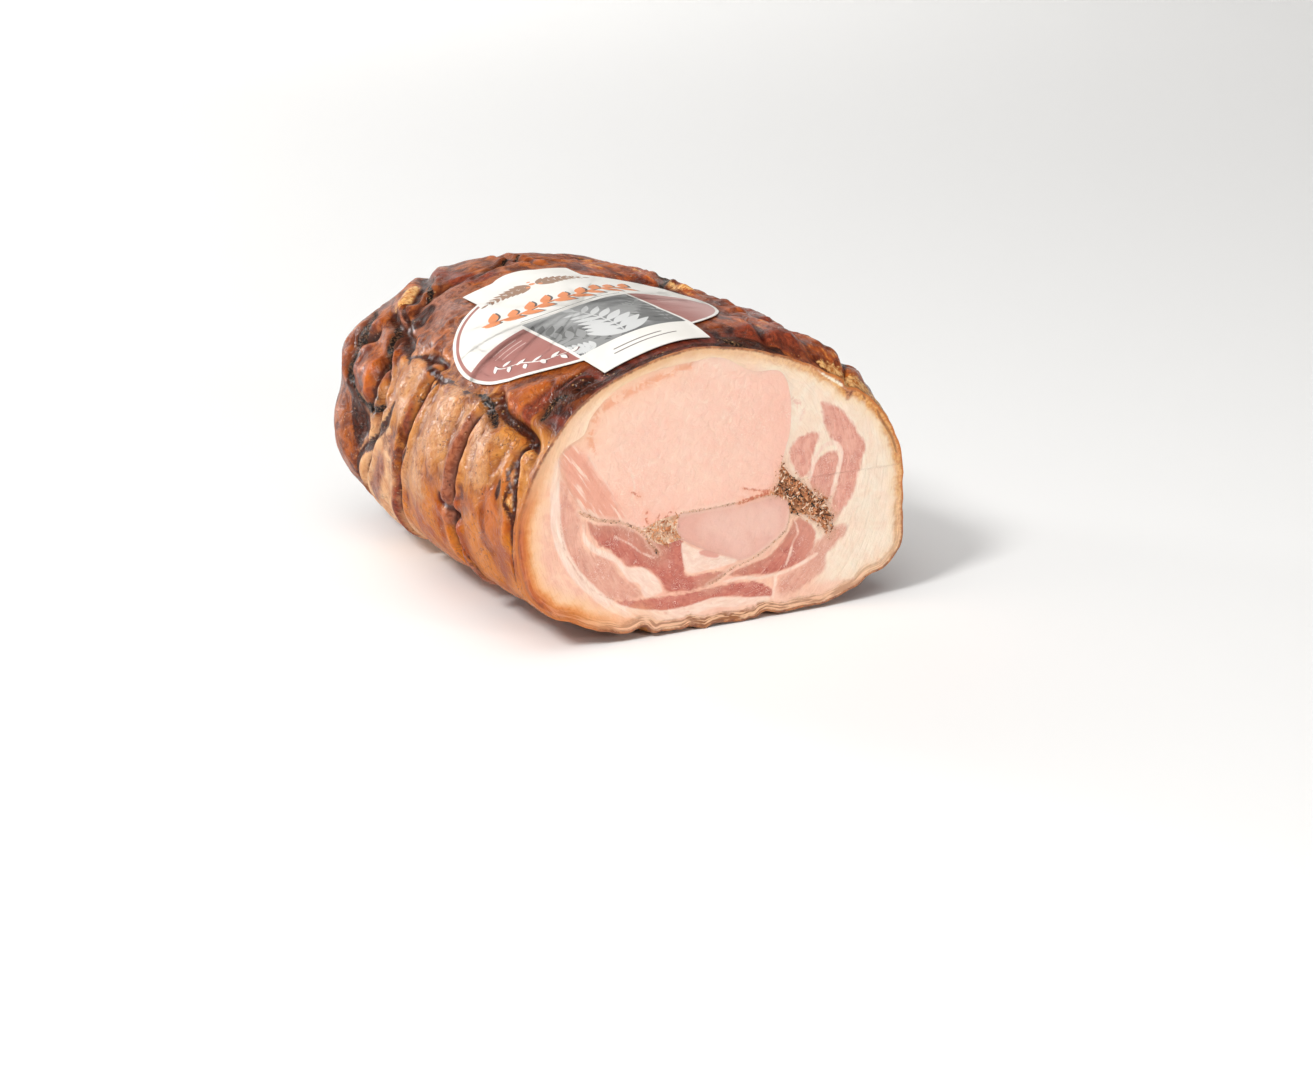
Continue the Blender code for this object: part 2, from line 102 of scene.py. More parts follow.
INNER_DEPTH = 190.0
INNER_END_SCALE = 0.84
INNER_AXIS = (0.0, 72.0)
GAP = 0.3

# Three turns of the string press a ring into the roll: (angle, depth) round it.
RINGS = (
    ((0, 68), (50, 62), (100, 58), (151, 52), (163, 59), (176, 62), (190, 64), (215, 70), (290, 74)),
    ((0, 128), (50, 122), (110, 118), (150, 118), (165, 119), (177, 124), (190, 134), (206, 147),
        (235, 150), (300, 138)),
    ((0, 186), (50, 186), (100, 190), (140, 186), (155, 177), (166, 159), (175, 157), (184, 169),
        (196, 186), (215, 196), (300, 190)),
)
RING_DEPTHS = (4.6, 3.8, 3.4)

# The long crease that runs back from the cut face: (angle, depth).
LONG_CREASE = (
    (164, 2), (160, 12), (158, 25), (157, 38), (154, 47), (151.5, 56), (151, 87), (152, 121),
    (153.5, 150),
)

# Creases of the skin, each as (how deep, width, lip, ((angle, depth), ...)).
CREASES = (
    (4.2, 2.8, 1.4, LONG_CREASE),
    (3.4, 2.4, 1.2, ((158, 14), (166, 16), (173, 12), (180, 7), (190, 6))),
    (2.6, 2.2, 1.0, ((186, 52), (187, 60), (186, 70), (184, 80))),
    (3.2, 2.6, 1.2, ((155, 152), (152, 166), (150, 184), (147, 206))),
    (6.0, 3.0, 1.6, ((157, 176), (163, 172), (170, 171), (175, 176))),
    (6.0, 3.0, 1.6, ((154, 196), (158, 208), (165, 206), (171, 200))),
    (3.4, 3.0, 1.4, ((101, 216), (100, 200), (98, 186), (94, 176))),
    (3.0, 3.0, 1.4, ((122, 236), (134, 206), (142, 190))),
    (2.8, 2.4, 1.6, ((143, 10), (133, 9), (120, 14), (106, 12))),
    (2.4, 3.4, 1.4, ((66, 4), (62, 40), (64, 90), (60, 150), (62, 205))),
    (3.0, 3.6, 1.6, ((47, 6), (49, 50), (45, 100), (48, 160), (44, 210))),
    (2.6, 3.2, 1.4, ((33, 3), (30, 45), (34, 95), (29, 150), (31, 200))),
    (2.2, 3.4, 1.2, ((14, 8), (17, 60), (12, 110), (16, 170))),
    (2.0, 3.2, 1.0, ((-8, 10), (-5, 70), (-9, 130), (-6, 190))),
)

# Lumps and hollows of the skin: (angle, depth, half width, half length, height).
LUMPS = (
    (151, 33, 9, 13, 3.0),
    (166, 189, 6, 17, 5.5),
    (181, 190, 8, 15, -9.0),
    (189, 212, 7, 14, 1.6),
    (163, 228, 12, 18, 5.5),
    (146, 167, 9, 12, -3.0),
    (168, 90, 16, 24, 2.6),
    (172, 36, 14, 18, 2.2),
    (166, 140, 9, 16, 2.4),
    (196, 98, 18, 30, 2.6),
    (209, 166, 18, 26, 3.5),
    (60, 140, 22, 52, 3.6),
    (32, 18, 14, 16, 3.0),
    (38, 70, 14, 30, 2.4),
)
# Folds gathered into the tied end, each as (angle, how deep, half width).
PLEATS = (
    (11, 2.4, 5), (37, 5.0, 9), (72, 2.6, 6), (101, 4.2, 7), (143, 3.0, 10), (171, 4.8, 6), (203, 2.6, 5),
    (228, 4.6, 8), (271, 3.2, 9), (304, 4.4, 6), (338, 3.0, 8),
)

# Paper label: a round sheet crossed by a long panel with an arched far end. The span is how far to
# each side of its middle the skin is measured, in degrees.
LABEL_ANGLE = 111.0
LABEL_SPAN = 75.0
LABEL_DEPTH = 86.0
LABEL_RADIUS = 66.0
PANEL_HALF_WIDTH = 29.0
PANEL_NEAR = 77.0
PANEL_FAR = 78.0
ARCH_HALF_WIDTH = 12.0
ARCH_RISE = 5.0
LABEL_LIFT = 0.45
LABEL_THICKNESS = 0.3

# How finely the skin, the cut and the label are meshed. The label's step and the sharp angle are in
# radians.
LABEL_RINGS = 110
LABEL_STEP = 0.018
SKIN_COLUMNS = 356
SKIN_BANDS = (50, 46, 44, 26)
SKIN_END_ROWS = 44
SKIN_END_TURN = 88.0
FACE_STEP = 1.0
ROW_SPACING = 0.866
CLEAR_OF_LINES = 0.45
SEAM_WIDTH = 0.02
MM_PER_DEGREE = 1.2
SHARP_ANGLE = 1.1

# Marks of the roasting on the skin: (kind, half width, height, ((angle, depth), ...)).
SKIN_MARKS = (
    ("char", 1.9, -1.1, ((148, 219), (152, 212), (160, 210), (168, 206), (173, 199), (175, 188),
        (174, 172), (171, 150))),
    ("char", 1.4, -0.7, ((149, 194), (155, 180), (161, 175), (166, 169), (170, 161))),
    ("honey", 5.5, 0.5, ((156, 191), (160, 186), (164, 180), (169, 177), (174, 178))),
    ("umber", 1.5, -0.9, ((143, 193), (147, 184), (152, 171), (155, 159), (158, 147))),
    ("mauve", 3.2, 0.9, ((146, 190), (152, 181), (160, 171), (163, 160))),
    ("umber", 4.5, -1.2, ((142, 178), (146, 177))),
    ("umber", 5.0, -0.6, ((163, 200), (174, 203), (187, 195))),
    ("umber", 3.5, -0.6, ((169, 170), (176, 171))),
    ("gold", 5.5, 0.8, ((137, 205), (141, 200))),
    ("char", 1.5, -1.0, ((129, 211), (134, 198), (139, 187))),
    ("mauve", 9.0, 0.4, ((131, 184), (135, 166), (141, 150))),
    ("maroon", 6.0, 0.3, ((128, 216), (125, 198), (121, 184), (115, 178))),
    ("char", 1.6, -1.1, ((121, 181), (114, 186), (107, 192), (102, 197), (94, 207))),
    ("honey", 7.0, 0.4, ((125, 170), (118, 165))),
    ("umber", 1.2, -0.9, ((156, 151), (154, 136), (156, 122), (157, 107), (155, 95), (156, 82),
        (154, 71))),
    ("umber", 0.9, -0.7, ((157, 108), (161, 113), (165, 122))),
    ("char", 1.5, -1.5, ((154, 74), (155, 62), (157, 50), (161, 38))),
    ("mauve", 3.4, 1.5, ((161, 63), (167, 64), (173, 65), (180, 66), (187, 68), (191, 64), (197, 65),
        (204, 61), (214, 66))),
    ("umber", 0.9, -1.1, ((161, 59), (165, 57), (169, 61), (173, 57), (179, 60), (185, 62), (193, 59),
        (202, 57), (212, 61))),
    ("maroon", 2.0, 0.6, ((165, 124), (173, 124), (180, 121), (187, 132), (196, 145), (205, 153),
        (214, 158))),
    ("umber", 1.0, -0.8, ((163, 119), (170, 120), (177, 117), (184, 125), (192, 139))),
    ("umber", 1.8, -0.7, ((168, 140), (176, 149), (184, 172), (188, 190), (198, 201))),
    ("pale", 12.0, 0.4, ((172, 93), (164, 84), (158, 80))),
    ("pale", 7.0, 0.3, ((160, 136), (168, 132))),
    ("pale", 7.0, 0.5, ((170, 39), (165, 46))),
    ("pale", 8.0, 0.3, ((186, 122), (182, 106), (184, 92))),
    ("mauve", 4.0, 0.4, ((184, 150), (192, 162), (199, 176))),
    ("honey", 8.0, 0.4, ((176, 24), (184, 27), (192, 26))),
    ("umber", 1.6, -0.2, ((174, 22), (176, 21))),
    ("gold", 2.6, 0.9, ((159, 15), (163, 12), (168, 14), (173, 11), (177, 7))),
    ("umber", 0.9, -0.8, ((157, 20), (163, 17), (170, 18), (176, 13), (182, 7), (190, 5), (199, 7))),
    ("honey", 7.0, 0.8, ((156, 31), (150, 34), (144, 29))),
    ("maroon", 3.5, 0.4, ((147, 22), (155, 24))),
    ("char", 2.0, -0.5, ((153, 13), (148, 16), (144, 11))),
    ("umber", 6.0, 0.4, ((60, 4), (80, 5), (100, 8), (116, 6), (126, 6), (136, 7), (143, 11), (150, 12))),
    ("char", 2.6, 1.0, ((77, 1), (81, 4), (84, 9))),
    ("honey", 5.0, 0.5, ((122, 24), (132, 27), (141, 24))),
    ("umber", 1.2, -0.7, ((118, 17), (128, 20), (138, 19), (146, 20))),
    ("gold", 4.0, 0.6, ((-14, 2), (-2, 2), (12, 3), (24, 4), (34, 3), (42, 4))),
    ("maroon", 8.0, 0.4, ((52, 10), (58, 14), (66, 14), (74, 12))),
    ("honey", 4.0, 0.4, ((30, 8), (34, 40), (31, 80), (35, 130))),
    ("honey", 3.5, 0.4, ((64, 160), (72, 176), (84, 196), (92, 210))),
    ("gold", 3.0, 0.5, ((56, 110), (60, 124), (64, 150))),
    ("char", 1.8, -0.8, ((66, 120), (58, 132), (54, 150), (49, 170))),
    ("char", 1.6, -0.7, ((80, 212), (70, 200), (62, 196), (50, 200))),
    ("umber", 1.2, -0.8, ((20, 30), (24, 60), (22, 95), (27, 120))),
    ("umber", 1.3, -0.8, ((2, 70), (6, 110), (3, 150), (8, 190))),
    ("maroon", 6.0, 0.4, ((42, 30), (46, 70), (43, 120), (47, 160))),
    ("pale", 9.0, 0.3, ((-20, 40), (-16, 80), (-22, 120))),
    ("pale", 8.0, 0.3, ((-28, 150), (-22, 190))),
)
KINDS = ("char", "umber", "maroon", "mauve", "honey", "pale", "gold")

# Areas of the cut face, each made of closed lines of (x, z): lean muscles, fat, islands of lean in
# the fat wedge, the fibrous meat on the left, a fold of skin drawn into the fat at the upper right,
# and where crumbs of the right pocket are spread.
REGIONS = {
    "rose": (
        ((44, 87), (49.5, 88), (55, 87.5), (53.5, 82), (51.5, 76.5), (50.5, 70), (46, 66.5), (42.5, 70),
            (39.5, 75), (38.5, 81), (40.5, 84.5)),
        ((55, 102.5), (60, 101), (65.5, 98), (70.5, 93.5), (74.5, 87.5), (77.5, 83), (80, 79), (79.5, 73),
            (77.5, 67), (75.5, 60), (73, 54), (69, 48.5), (63.5, 46), (62, 50.5), (64, 57), (65.5, 64),
            (66.5, 71), (66, 78), (61, 84), (58, 89), (56.5, 95)),
        ((58.5, 77), (64, 77.5), (66, 74), (65, 68), (64, 62), (62, 55), (56, 55.5), (51, 60), (49, 66),
            (50, 71), (54, 74.5)),
    ),
    "pale_lean": (
        ((76, 67), (75, 58), (72, 52), (68, 47), (63, 42), (62, 50), (68, 59)),
        ((-79, 83), (-74, 73), (-69, 59), (-69, 51), (-63, 46), (-57, 43), (-52, 38), (-48, 32.5),
            (-44, 29.5), (-38, 21.5), (-46, 20), (-55, 21.5), (-60, 24.5), (-66, 30.5), (-72, 37),
            (-76, 44), (-79, 51), (-80, 61), (-80.5, 74)),
        ((64, 40.5), (70, 40.5), (70.5, 35.5), (66, 31), (60, 26), (59.5, 20), (55, 15.5), (47, 11.5),
            (38, 9), (33.5, 11), (34, 17), (40, 21.5), (48.5, 24.5), (51, 30), (54.5, 35), (59, 37)),
    ),
    "deep": (
        ((-66, 61), (-60, 59), (-50, 57.5), (-42, 54), (-35, 48), (-27, 46), (-19, 46), (-16, 42),
            (-16, 30), (-12, 27.5), (0, 27.5), (5, 25.5), (0, 21.5), (-10, 20), (-20, 20), (-26, 21.5),
            (-29, 27.5), (-32, 30.5), (-38, 35), (-45, 36.5), (-50, 41), (-55, 46), (-60, 49), (-63, 53)),
        ((-53, 21.5), (-47, 20.5), (-35, 20), (-20, 19), (0, 20), (12, 20.5), (23, 18.5), (30, 14),
            (30.5, 10.5), (25, 9.5), (18, 11), (10, 13), (0, 14), (-10, 12), (-20, 11), (-30, 11.5),
            (-40, 13.5), (-46, 15), (-50, 18)),
        ((7, 24.5), (14, 28), (24.5, 29.5), (33, 34.5), (38.5, 41), (41, 46.5), (46, 47), (51.5, 43.5),
            (54, 38), (53, 32), (49, 26), (41, 23), (33, 21.8), (24, 21.8), (13, 23)),
    ),
    "white_fat": (
        ((-68, 61), (-66, 54), (-62, 49), (-55, 45), (-50, 41), (-46, 36.5), (-38, 35), (-33, 31.5),
            (-30, 27.5), (-28, 21.5), (-36, 20), (-38, 22.5), (-40, 27.5), (-45, 29.5), (-48, 33.5),
            (-52, 39), (-58, 43), (-63, 46), (-68, 52)),
        ((-18, 44), (-10, 40), (0, 36), (12, 31), (4, 29), (-5, 28.5), (-12, 28), (-16, 31)),
    ),
    "island": (((-9, 38), (-5, 39), (2, 36), (1, 34), (-5, 35)),),
    "fibrous": (
        ((-74, 97), (-67, 93), (-62, 84), (-54, 73), (-47, 60), (-55, 59), (-63, 63), (-69, 68),
            (-74, 74), (-78, 84), (-79, 93)),
    ),
    "tuck": (
        ((63, 112), (66, 109), (68.5, 106.5), (69.5, 102), (71.5, 103.5), (74, 105.5), (77, 105.5),
            (75, 108.5), (70, 112)),
    ),
    "spread": (
        ((35, 76), (38, 70), (45, 65), (53, 60), (61, 53), (64, 45), (62, 36), (57, 40), (51, 45),
            (46, 48), (42, 48), (40, 55), (34, 59), (27, 60.5), (32, 66)),
    ),
}
# Stripes of the cut face, each as (half width, ((x, z), ...)). The seams lie between the layers of
# the roll, where seasoning shows.
STRIPES = {
    "white_lines": (
        (2.6, ((-80, 92), (-81.5, 78), (-81.5, 66), (-80, 55), (-77, 46), (-71, 36), (-62, 26), (-51, 17),
            (-39, 12.5), (-26, 10), (-12, 10.5), (0, 12), (14, 10), (28, 9.5))),
        (1.1, ((49, 64), (51, 69), (53, 76), (58, 81), (64, 81), (67, 76), (65, 66), (62, 56))),
        (0.9, ((31, 9), (32, 16), (33, 20.5), (38, 21.5), (44.5, 23.5), (51, 26), (55, 28))),
        (0.6, ((42, 46.5), (43.5, 42.5), (44, 39.5), (41.5, 35.5), (40, 30), (38, 25))),
        (0.8, ((34, 21), (24, 20.5), (14, 22), (4, 21.5))),
        (0.6, ((-80, 93), (-76, 86), (-71, 79), (-66, 71))),
        (0.5, ((-66, 93), (-60, 84), (-55, 76), (-48, 60))),
        (0.5, ((-44, 83), (-42, 75), (-43, 68))),
        (0.5, ((-52, 52), (-44, 47), (-38, 42), (-32, 39))),
    ),
    "blotch": (
        (1.6, ((-8, 128), (-22, 126), (-34, 122), (-47, 118), (-57, 113), (-62, 108), (-64, 101),
            (-62, 93))),
    ),
    "seam": (
        (0.7, ((-70, 66), (-66, 64), (-60, 61), (-50, 58.5), (-44, 56), (-38, 52), (-33, 45), (-30, 41))),
        (0.4, ((-19, 58.3), (-8, 58.6), (6, 58.8), (20, 60), (30, 61))),
        (0.35, ((39.5, 51), (38, 43), (30, 36.5), (24, 32.5), (16, 29.5), (9, 27.5), (3, 24),
            (-4, 21.5))),
    ),
    "dark_line": (
        (0.25, ((-79, 62), (-78, 54), (-76, 46), (-71, 37.5), (-64.5, 29), (-58, 24.5), (-50, 20.5))),
    ),
    "gap": (
        (0.5, ((75, 106), (77.8, 104.2), (79.2, 100.8))),
        (0.5, ((86, 95), (88, 90.5), (92, 85), (95.5, 79), (98, 72))),
    ),
    "lip": ((0.6, ((46, 123), (52, 119), (57.6, 114.6), (65, 110), (69, 107))),),
    "faint": ((1.0, ((38, 106), (42, 104), (45, 100), (44, 96))),),
    "red_streak": (
        (0.8, ((12, 59.2), (21, 60.6), (28.5, 62))),
        (0.35, ((14, 66), (23, 63.6), (31, 63))),
        (0.4, ((-34, 54.5), (-36, 58), (-35.5, 61.5))),
        (0.35, ((-31, 56), (-29, 59.5))),
        (0.4, ((-27, 57), (-23, 60))),
        (0.3, ((-43.5, 72), (-39, 69))),
    ),
}
# Direction of the fibrous meat's strands, in radians.
GRAIN = 2.55

# Colours laid over the skin in this order, each as (mask, low, high, wander, noise of its edge,
# noise of its tone, tone's low, tone's high, dark, light).
SKIN_ZONES = (
    ("flank", 0.3, 0.75, 0.5, "middle", "middle", 0.3, 0.65, (156, 84, 28), (196, 130, 62)),
    ("low", 0.3, 0.8, 0.3, "middle", "broad", 0.35, 0.6, (152, 64, 0), (196, 110, 10)),
    ("pale_low", 0.3, 0.8, 0.4, "middle", "middle", 0.3, 0.65, (196, 132, 86), (228, 178, 132)),
    ("under", 0.3, 0.8, 0.3, "middle", "broad", 0.35, 0.65, (170, 102, 52), (196, 138, 84)),
    ("top_far", 0.3, 0.7, 0.35, "middle", "middle", 0.3, 0.7, (84, 32, 12), (186, 104, 54)),
    ("right", 0.25, 0.6, 0.3, "middle", "streaky", 0.32, 0.68, (84, 30, 12), (180, 88, 38)),
)
SKIN_PATCHES = (
    ("end", 0.4, 0.9, 0.3, "middle", "middle", 0.3, 0.7, (50, 22, 11), (112, 60, 32)),
    ("edge_dark", 0.3, 0.62, 0.35, "middle", "streaky", 0.3, 0.7, (44, 16, 12), (118, 46, 28)),
    ("pale", -4.0, 4.0, 7.0, "middle", "fine", 0.3, 0.7, (180, 114, 66), (206, 150, 100)),
    ("honey", -2.0, 2.0, 4.0, "middle", "middle", 0.3, 0.7, (134, 58, 14), (188, 100, 34)),
    ("mauve", -1.8, 2.0, 3.0, "middle", "fine", 0.3, 0.7, (114, 60, 42), (170, 108, 82)),
    ("maroon", -1.6, 1.8, 3.5, "middle", "fine", 0.3, 0.7, (96, 38, 24), (150, 68, 42)),
    ("gold", -1.0, 1.0, 3.5, "fine", "fine", 0.35, 0.65, (178, 98, 38), (236, 186, 122)),
)

# Print of the label. Sprigs are (base, direction, size, bend), rules are (place along, half length,
# middle across) and berries are (across, along, radius).
SPRIGS = {
    "leaf_back": (((-21, -54), -0.25, 52, 0.25), ((23, -46), 0.1, 46, 0.25)),
    "leaf_middle": (((8, -56), 0.5, 44, 0.25), ((-6, -28), -0.9, 26, 0.25)),
    "leaf_front": (((2, -53), -0.15, 50, 0.5), ((19, -54), 0.75, 20, 0.25)),
    "crest": (((-2, 54), -1.45, 24, -0.35), ((2, 54), 1.45, 24, 0.35)),
}
BERRIES = ((0, 56, 1.7), (-3.4, 53, 1.3), (3.4, 53, 1.3), (0, 60.5, 1.1))
RULES = ((-63.0, 13.0, 2.0), (-66.6, 17.0, 0.0))
PALE_RULES = ((-4.0, 7.0, 44.0), (-8.5, 8.0, 44.0), (-13.0, 7.0, 43.0), (-6.0, 6.0, -44.0),
              (-11.0, 6.0, -43.0))
LEAF_GREYS = (("leaf_back", 96), ("leaf_middle", 142), ("leaf_front", 206))
PRINT_COLOURS = (
    ("band_shadow", (74, 66, 60)), ("band", (226, 134, 74)), ("crest", (150, 112, 84)),
    ("crest_berries", (222, 140, 86)), ("vine_shadow", (104, 60, 54)), ("vine", (236, 228, 222)),
    ("rules", (116, 108, 102)), ("pale_rules", (214, 182, 174)),
)

# Camera and lights, in metres and watts. A lamp is (name, place, what it faces, size, power).
CAMERA_PLACE = (-0.52298, -1.09744, 0.40170)
CAMERA_LOOK = (0.43211, 0.84807, -0.30668)
CAMERA_LENS = 68.545
LAMPS = (
    ("key", (-1.3, -0.7, 1.4), (0, 0, 0.06), (0.36, 0.36), 25),
    ("front", (0.6, -2.2, 0.9), (0, 0, 0.06), (0.4, 0.4), 8.4),
    ("backdrop", (-0.3, 2.7, 1.7), (-0.3, 3.0, 0.0), (3.5, 1.2), 23),
    ("sheen", (-0.95, 1.5, 0.45), (0, 0, 0.06), (0.3, 0.3), 8),
)
SKY_POWER = 1.3
SKY_WAY = (0.3, 0.3, -1.0)
SKY_WIDTH = 60.0
WORLD_POWER = 0.16
FLOOR_COLOUR = (246, 245, 243)
FLOOR_BENDS = 24


def smooth(x, low, high):
    """0 below low and 1 above high, with a smooth rise between them."""
    t = np.clip((x - low) / (high - low), 0.0, 1.0)
    return t * t * (3.0 - 2.0 * t)


def turn(angle, centre):
    """The signed angle from centre, wrapped to half a turn each way."""
    return (angle - centre + 180.0) % 360.0 - 180.0


def hump(angle, centre, width):
    """1 at the centre and smoothly less round it."""
    return np.exp(-(turn(angle, centre) / width) ** 2)


def curve(points, per_span, closed=False):
    """A Catmull-Rom curve through the points."""
    p = np.array(points, float)
    if closed:
        p = np.vstack([p[-1], p, p[:2]])
    else:
        p = np.vstack([2 * p[0] - p[1], p, 2 * p[-1] - p[-2]])
    t = (np.arange(per_span) / per_span)[:, None]
    spans = []
    for a, b, c, d in zip(p, p[1:], p[2:], p[3:]):
        spans.append(b + t * (c - a) / 2 + t**2 * (a - 2.5 * b + 2 * c - d / 2)
                     + t**3 * (1.5 * b - a / 2 - 1.5 * c + d / 2))
    line = np.vstack(spans)
    return line if closed else np.vstack([line, p[-2]])


def periodic(points, angle):
    """A value round the roast, through (angle, value) points."""
    a, value = np.array(points, float).T
    a = np.concatenate([a[-2:] - 360, a, a[:2] + 360])
    value = np.concatenate([value[-2:], value, value[:2]])
    line = curve(np.stack([a, value], 1), 12)
    return np.interp(np.asarray(angle) % 360.0, line[:, 0], line[:, 1])


def lattice_noise(p, size, seed):
    """Smooth noise from -1 to 1, with features about size across."""
    q = np.asarray(p, float) / size + seed * 17.13
    cell = np.floor(q).astype(np.int64)
    f = q - cell
    f = f * f * (3.0 - 2.0 * f)
    total = 0.0
    for corner in np.ndindex(2, 2, 2):
        c = cell + np.array(corner)
        h = c[..., 0] * 73856093 ^ c[..., 1] * 19349663 ^ c[..., 2] * 83492791
        h = (h ^ (h >> 13)) * 1274126177 & 0xFFFFFF
        share = np.where(np.array(corner) == 1, f, 1.0 - f).prod(-1)
        total = total + share * (h / 0x7FFFFF - 1.0)
    return total


def rind_table():
    """The rind line as angles and radii about the roast's axis."""
    line = curve(RIND, 12, closed=True) - (0.0, CENTRE_Z)
    angle = np.degrees(np.arctan2(line[:, 1], line[:, 0])) % 360.0
    order = np.argsort(angle)
    angle = angle[order]
    radius = np.hypot(line[:, 0], line[:, 1])[order]
    return np.append(angle, angle[0] + 360), np.append(radius, radius[0])


RIND_ANGLES, RIND_RADII = rind_table()


def section_radius(angle, depth):
    """Radius of the roll without its creases, at an angle and a depth."""
    first = RIND_ANGLES[0]
    r = np.interp((angle - first) % 360.0 + first, RIND_ANGLES, RIND_RADII)
    shoulder = smooth(depth, 0, 22) * (1 - 0.3 * smooth(depth, 60, 160))
    r = r + 8.5 * hump(angle, 48, 32) * shoulder
    for centre, width, height, start, full in SWELLS:
        r = r + height * hump(angle, centre, width) * smooth(depth, start, full)
    for centre, width, deep in NOTCHES:
        r = r - deep * hump(angle, centre, width) * (1 - smooth(depth, 2, 16))
    return r


def body(angle, along):
    """Points of the smooth roll. Along is the depth up to the rounded end,
    and from there one more unit of it is one degree of the end's quarter turn."""
    quarter = np.radians(np.clip(along - STRAIGHT, 0, 90))
    depth = np.minimum(along, STRAIGHT) + END_LENGTH * np.sin(quarter) ** (2 / 3)
    r = section_radius(angle, depth) * np.clip(np.cos(quarter), 0, 1) ** (2 / 2.2)
    a = np.radians(angle)
    return np.stack([r * np.cos(a), depth - LENGTH / 2 + 0 * r, CENTRE_Z + r * np.sin(a)], -1)


def body_normal(angle, along):
    across = body(angle + 0.5, along) - body(angle - 0.5, along)
    back = body(angle, np.minimum(along + 0.5, END_LIMIT)) - body(angle, np.maximum(along - 0.5, 0))
    n = np.cross(back, across)
    return n / np.maximum(np.linalg.norm(n, axis=-1, keepdims=True), 1e-9)


def skin_depth(along):
    """The depth of a place on the skin, also round the end."""
    return np.minimum(along, STRAIGHT) + 0.8 * np.maximum(along - STRAIGHT, 0)


def label_line():
    """Angles across the label, and how far along the skin each is from its middle."""
    line = np.arange(LABEL_ANGLE - LABEL_SPAN, LABEL_ANGLE + LABEL_SPAN + 0.1, 1.0)
    p = body(line, np.full_like(line, LABEL_DEPTH))
    run = np.append(0, np.cumsum(np.linalg.norm(np.diff(p, axis=0), axis=1)))
    return line, run - np.interp(LABEL_ANGLE, line, run)


def skin_place(u, w):
    """The angle and depth of a point of the label's sheet."""
    line, run = label_line()
    return np.interp(u, run, line), w + LABEL_DEPTH


def under_label(angle, depth):
    """1 under the label and 0 clear of it."""
    line, run = label_line()
    u = np.interp(LABEL_ANGLE + turn(angle, LABEL_ANGLE), line, run)
    w = depth - LABEL_DEPTH
    disc = LABEL_RADIUS - np.hypot(u, w)
    ends = np.minimum(w + PANEL_NEAR, PANEL_FAR + ARCH_RISE - w)
    panel = np.minimum(PANEL_HALF_WIDTH - np.abs(u), ends)
    return smooth(np.maximum(disc, panel), -11, -2)


def crease_profile(distance, width, lip):
    """The groove of a crease, and the bank beside it."""
    groove = np.exp(-(distance / width) ** 2)
    bank = np.exp(-((distance - 2.3 * width) / (1.1 * width)) ** 2)
    return groove, lip * bank


def line_distance(angle, depth, points):
    """Millimetres to a line on the skin, and how far along the line that is."""
    line = curve(points, 4)
    best = np.full(np.shape(angle), FAR_AWAY)
    place = np.zeros(np.shape(angle))
    count = len(line) - 1
    scale = np.radians(SKIN_RADIUS)
    for i, (start, end) in enumerate(zip(line, line[1:])):
        ax = turn(angle, start[0]) * scale
        ay = depth - start[1]
        bx, by = (end - start) * (scale, 1.0)
        t = np.clip((ax * bx + ay * by) / (bx * bx + by * by), 0, 1)
        d = np.hypot(ax - t * bx, ay - t * by)
        place = np.where(d < best, (i + t) / count, place)
        best = np.minimum(best, d)
    return best, place


def relief(angle, along, points):
    """Height of the skin over the smooth roll, and how deep in a crease it is."""
    depth = skin_depth(along)
    flank = hump(angle, 182, 42)
    share = 0.22 + 0.78 * flank + 0.2 * hump(angle, 25, 55)
    height = np.zeros(np.shape(angle))
    creased = np.zeros(np.shape(angle))
    waver = 2.2 * lattice_noise(points, 23.0, 3)
    for ring, deep in zip(RINGS, RING_DEPTHS):
        d = np.abs(depth + waver - periodic(ring, angle))
        groove, bank = crease_profile(d, 3.0, 1.5)
        height = height + share * (bank - deep * groove)
        creased = np.maximum(creased, share * groove)
        height = height + 1.4 * share * np.exp(-((d - 26) / 16.0) ** 2)
    for deep, width, lip, line in CREASES:
        d, place = line_distance(angle, depth + 0.6 * waver, line)
        ends = smooth(place, -0.01, 0.12) * (1 - smooth(place, 0.88, 1.01))
        groove, bank = crease_profile(d, width, lip)
        height = height + ends * (bank - deep * groove)
        creased = np.maximum(creased, np.clip(deep / 3.2, 0, 1) * ends * groove)
    for centre, middle, half_width, half_length, up in LUMPS:
        away = (turn(angle, centre) / half_width) ** 2 + ((depth - middle) / half_length) ** 2
        height = height + up * np.exp(-away)
    rounding = smooth(along, STRAIGHT - 6, STRAIGHT + 24)
    for centre, deep, width in PLEATS:
        bend = 9.0 * np.sin(np.radians(along - STRAIGHT)) * np.cos(centre)
        fold = rounding * hump(angle, centre + bend, width)
        height = height - deep * fold
        creased = np.maximum(creased, 0.8 * fold**3)
    knot = smooth(along, STRAIGHT + 68, STRAIGHT + 88)
    height = height * (1 - knot) - 7.0 * knot
    height = height + 0.9 * lattice_noise(points, 26.0, 1)
    height = height + 0.5 * lattice_noise(points, 11.0, 2) * (0.4 + 0.6 * flank)
    covered = under_label(angle, depth)
    height = height * (1 - 0.93 * covered)
    seat = np.exp(-(turn(angle, 272) / 34.0) ** 4) * (1 - rounding)
    height = height * (1 - 0.85 * seat) + 1.7 * seat
    creased = creased * (1 - seat) * (1 - covered)
    return height * smooth(along, 0, 9), creased * smooth(along, 0, 6)


def lean(angles, rows):
    """Column angles bent to follow the long crease."""
    place, depth = np.array(LONG_CREASE, float).T
    usual = place[4]
    near = np.clip(1 - np.abs(turn(angles, usual)) / 30.0, 0, 1)
    return angles + (np.interp(rows, depth, place) - usual) * near**2 * (3 - 2 * near)


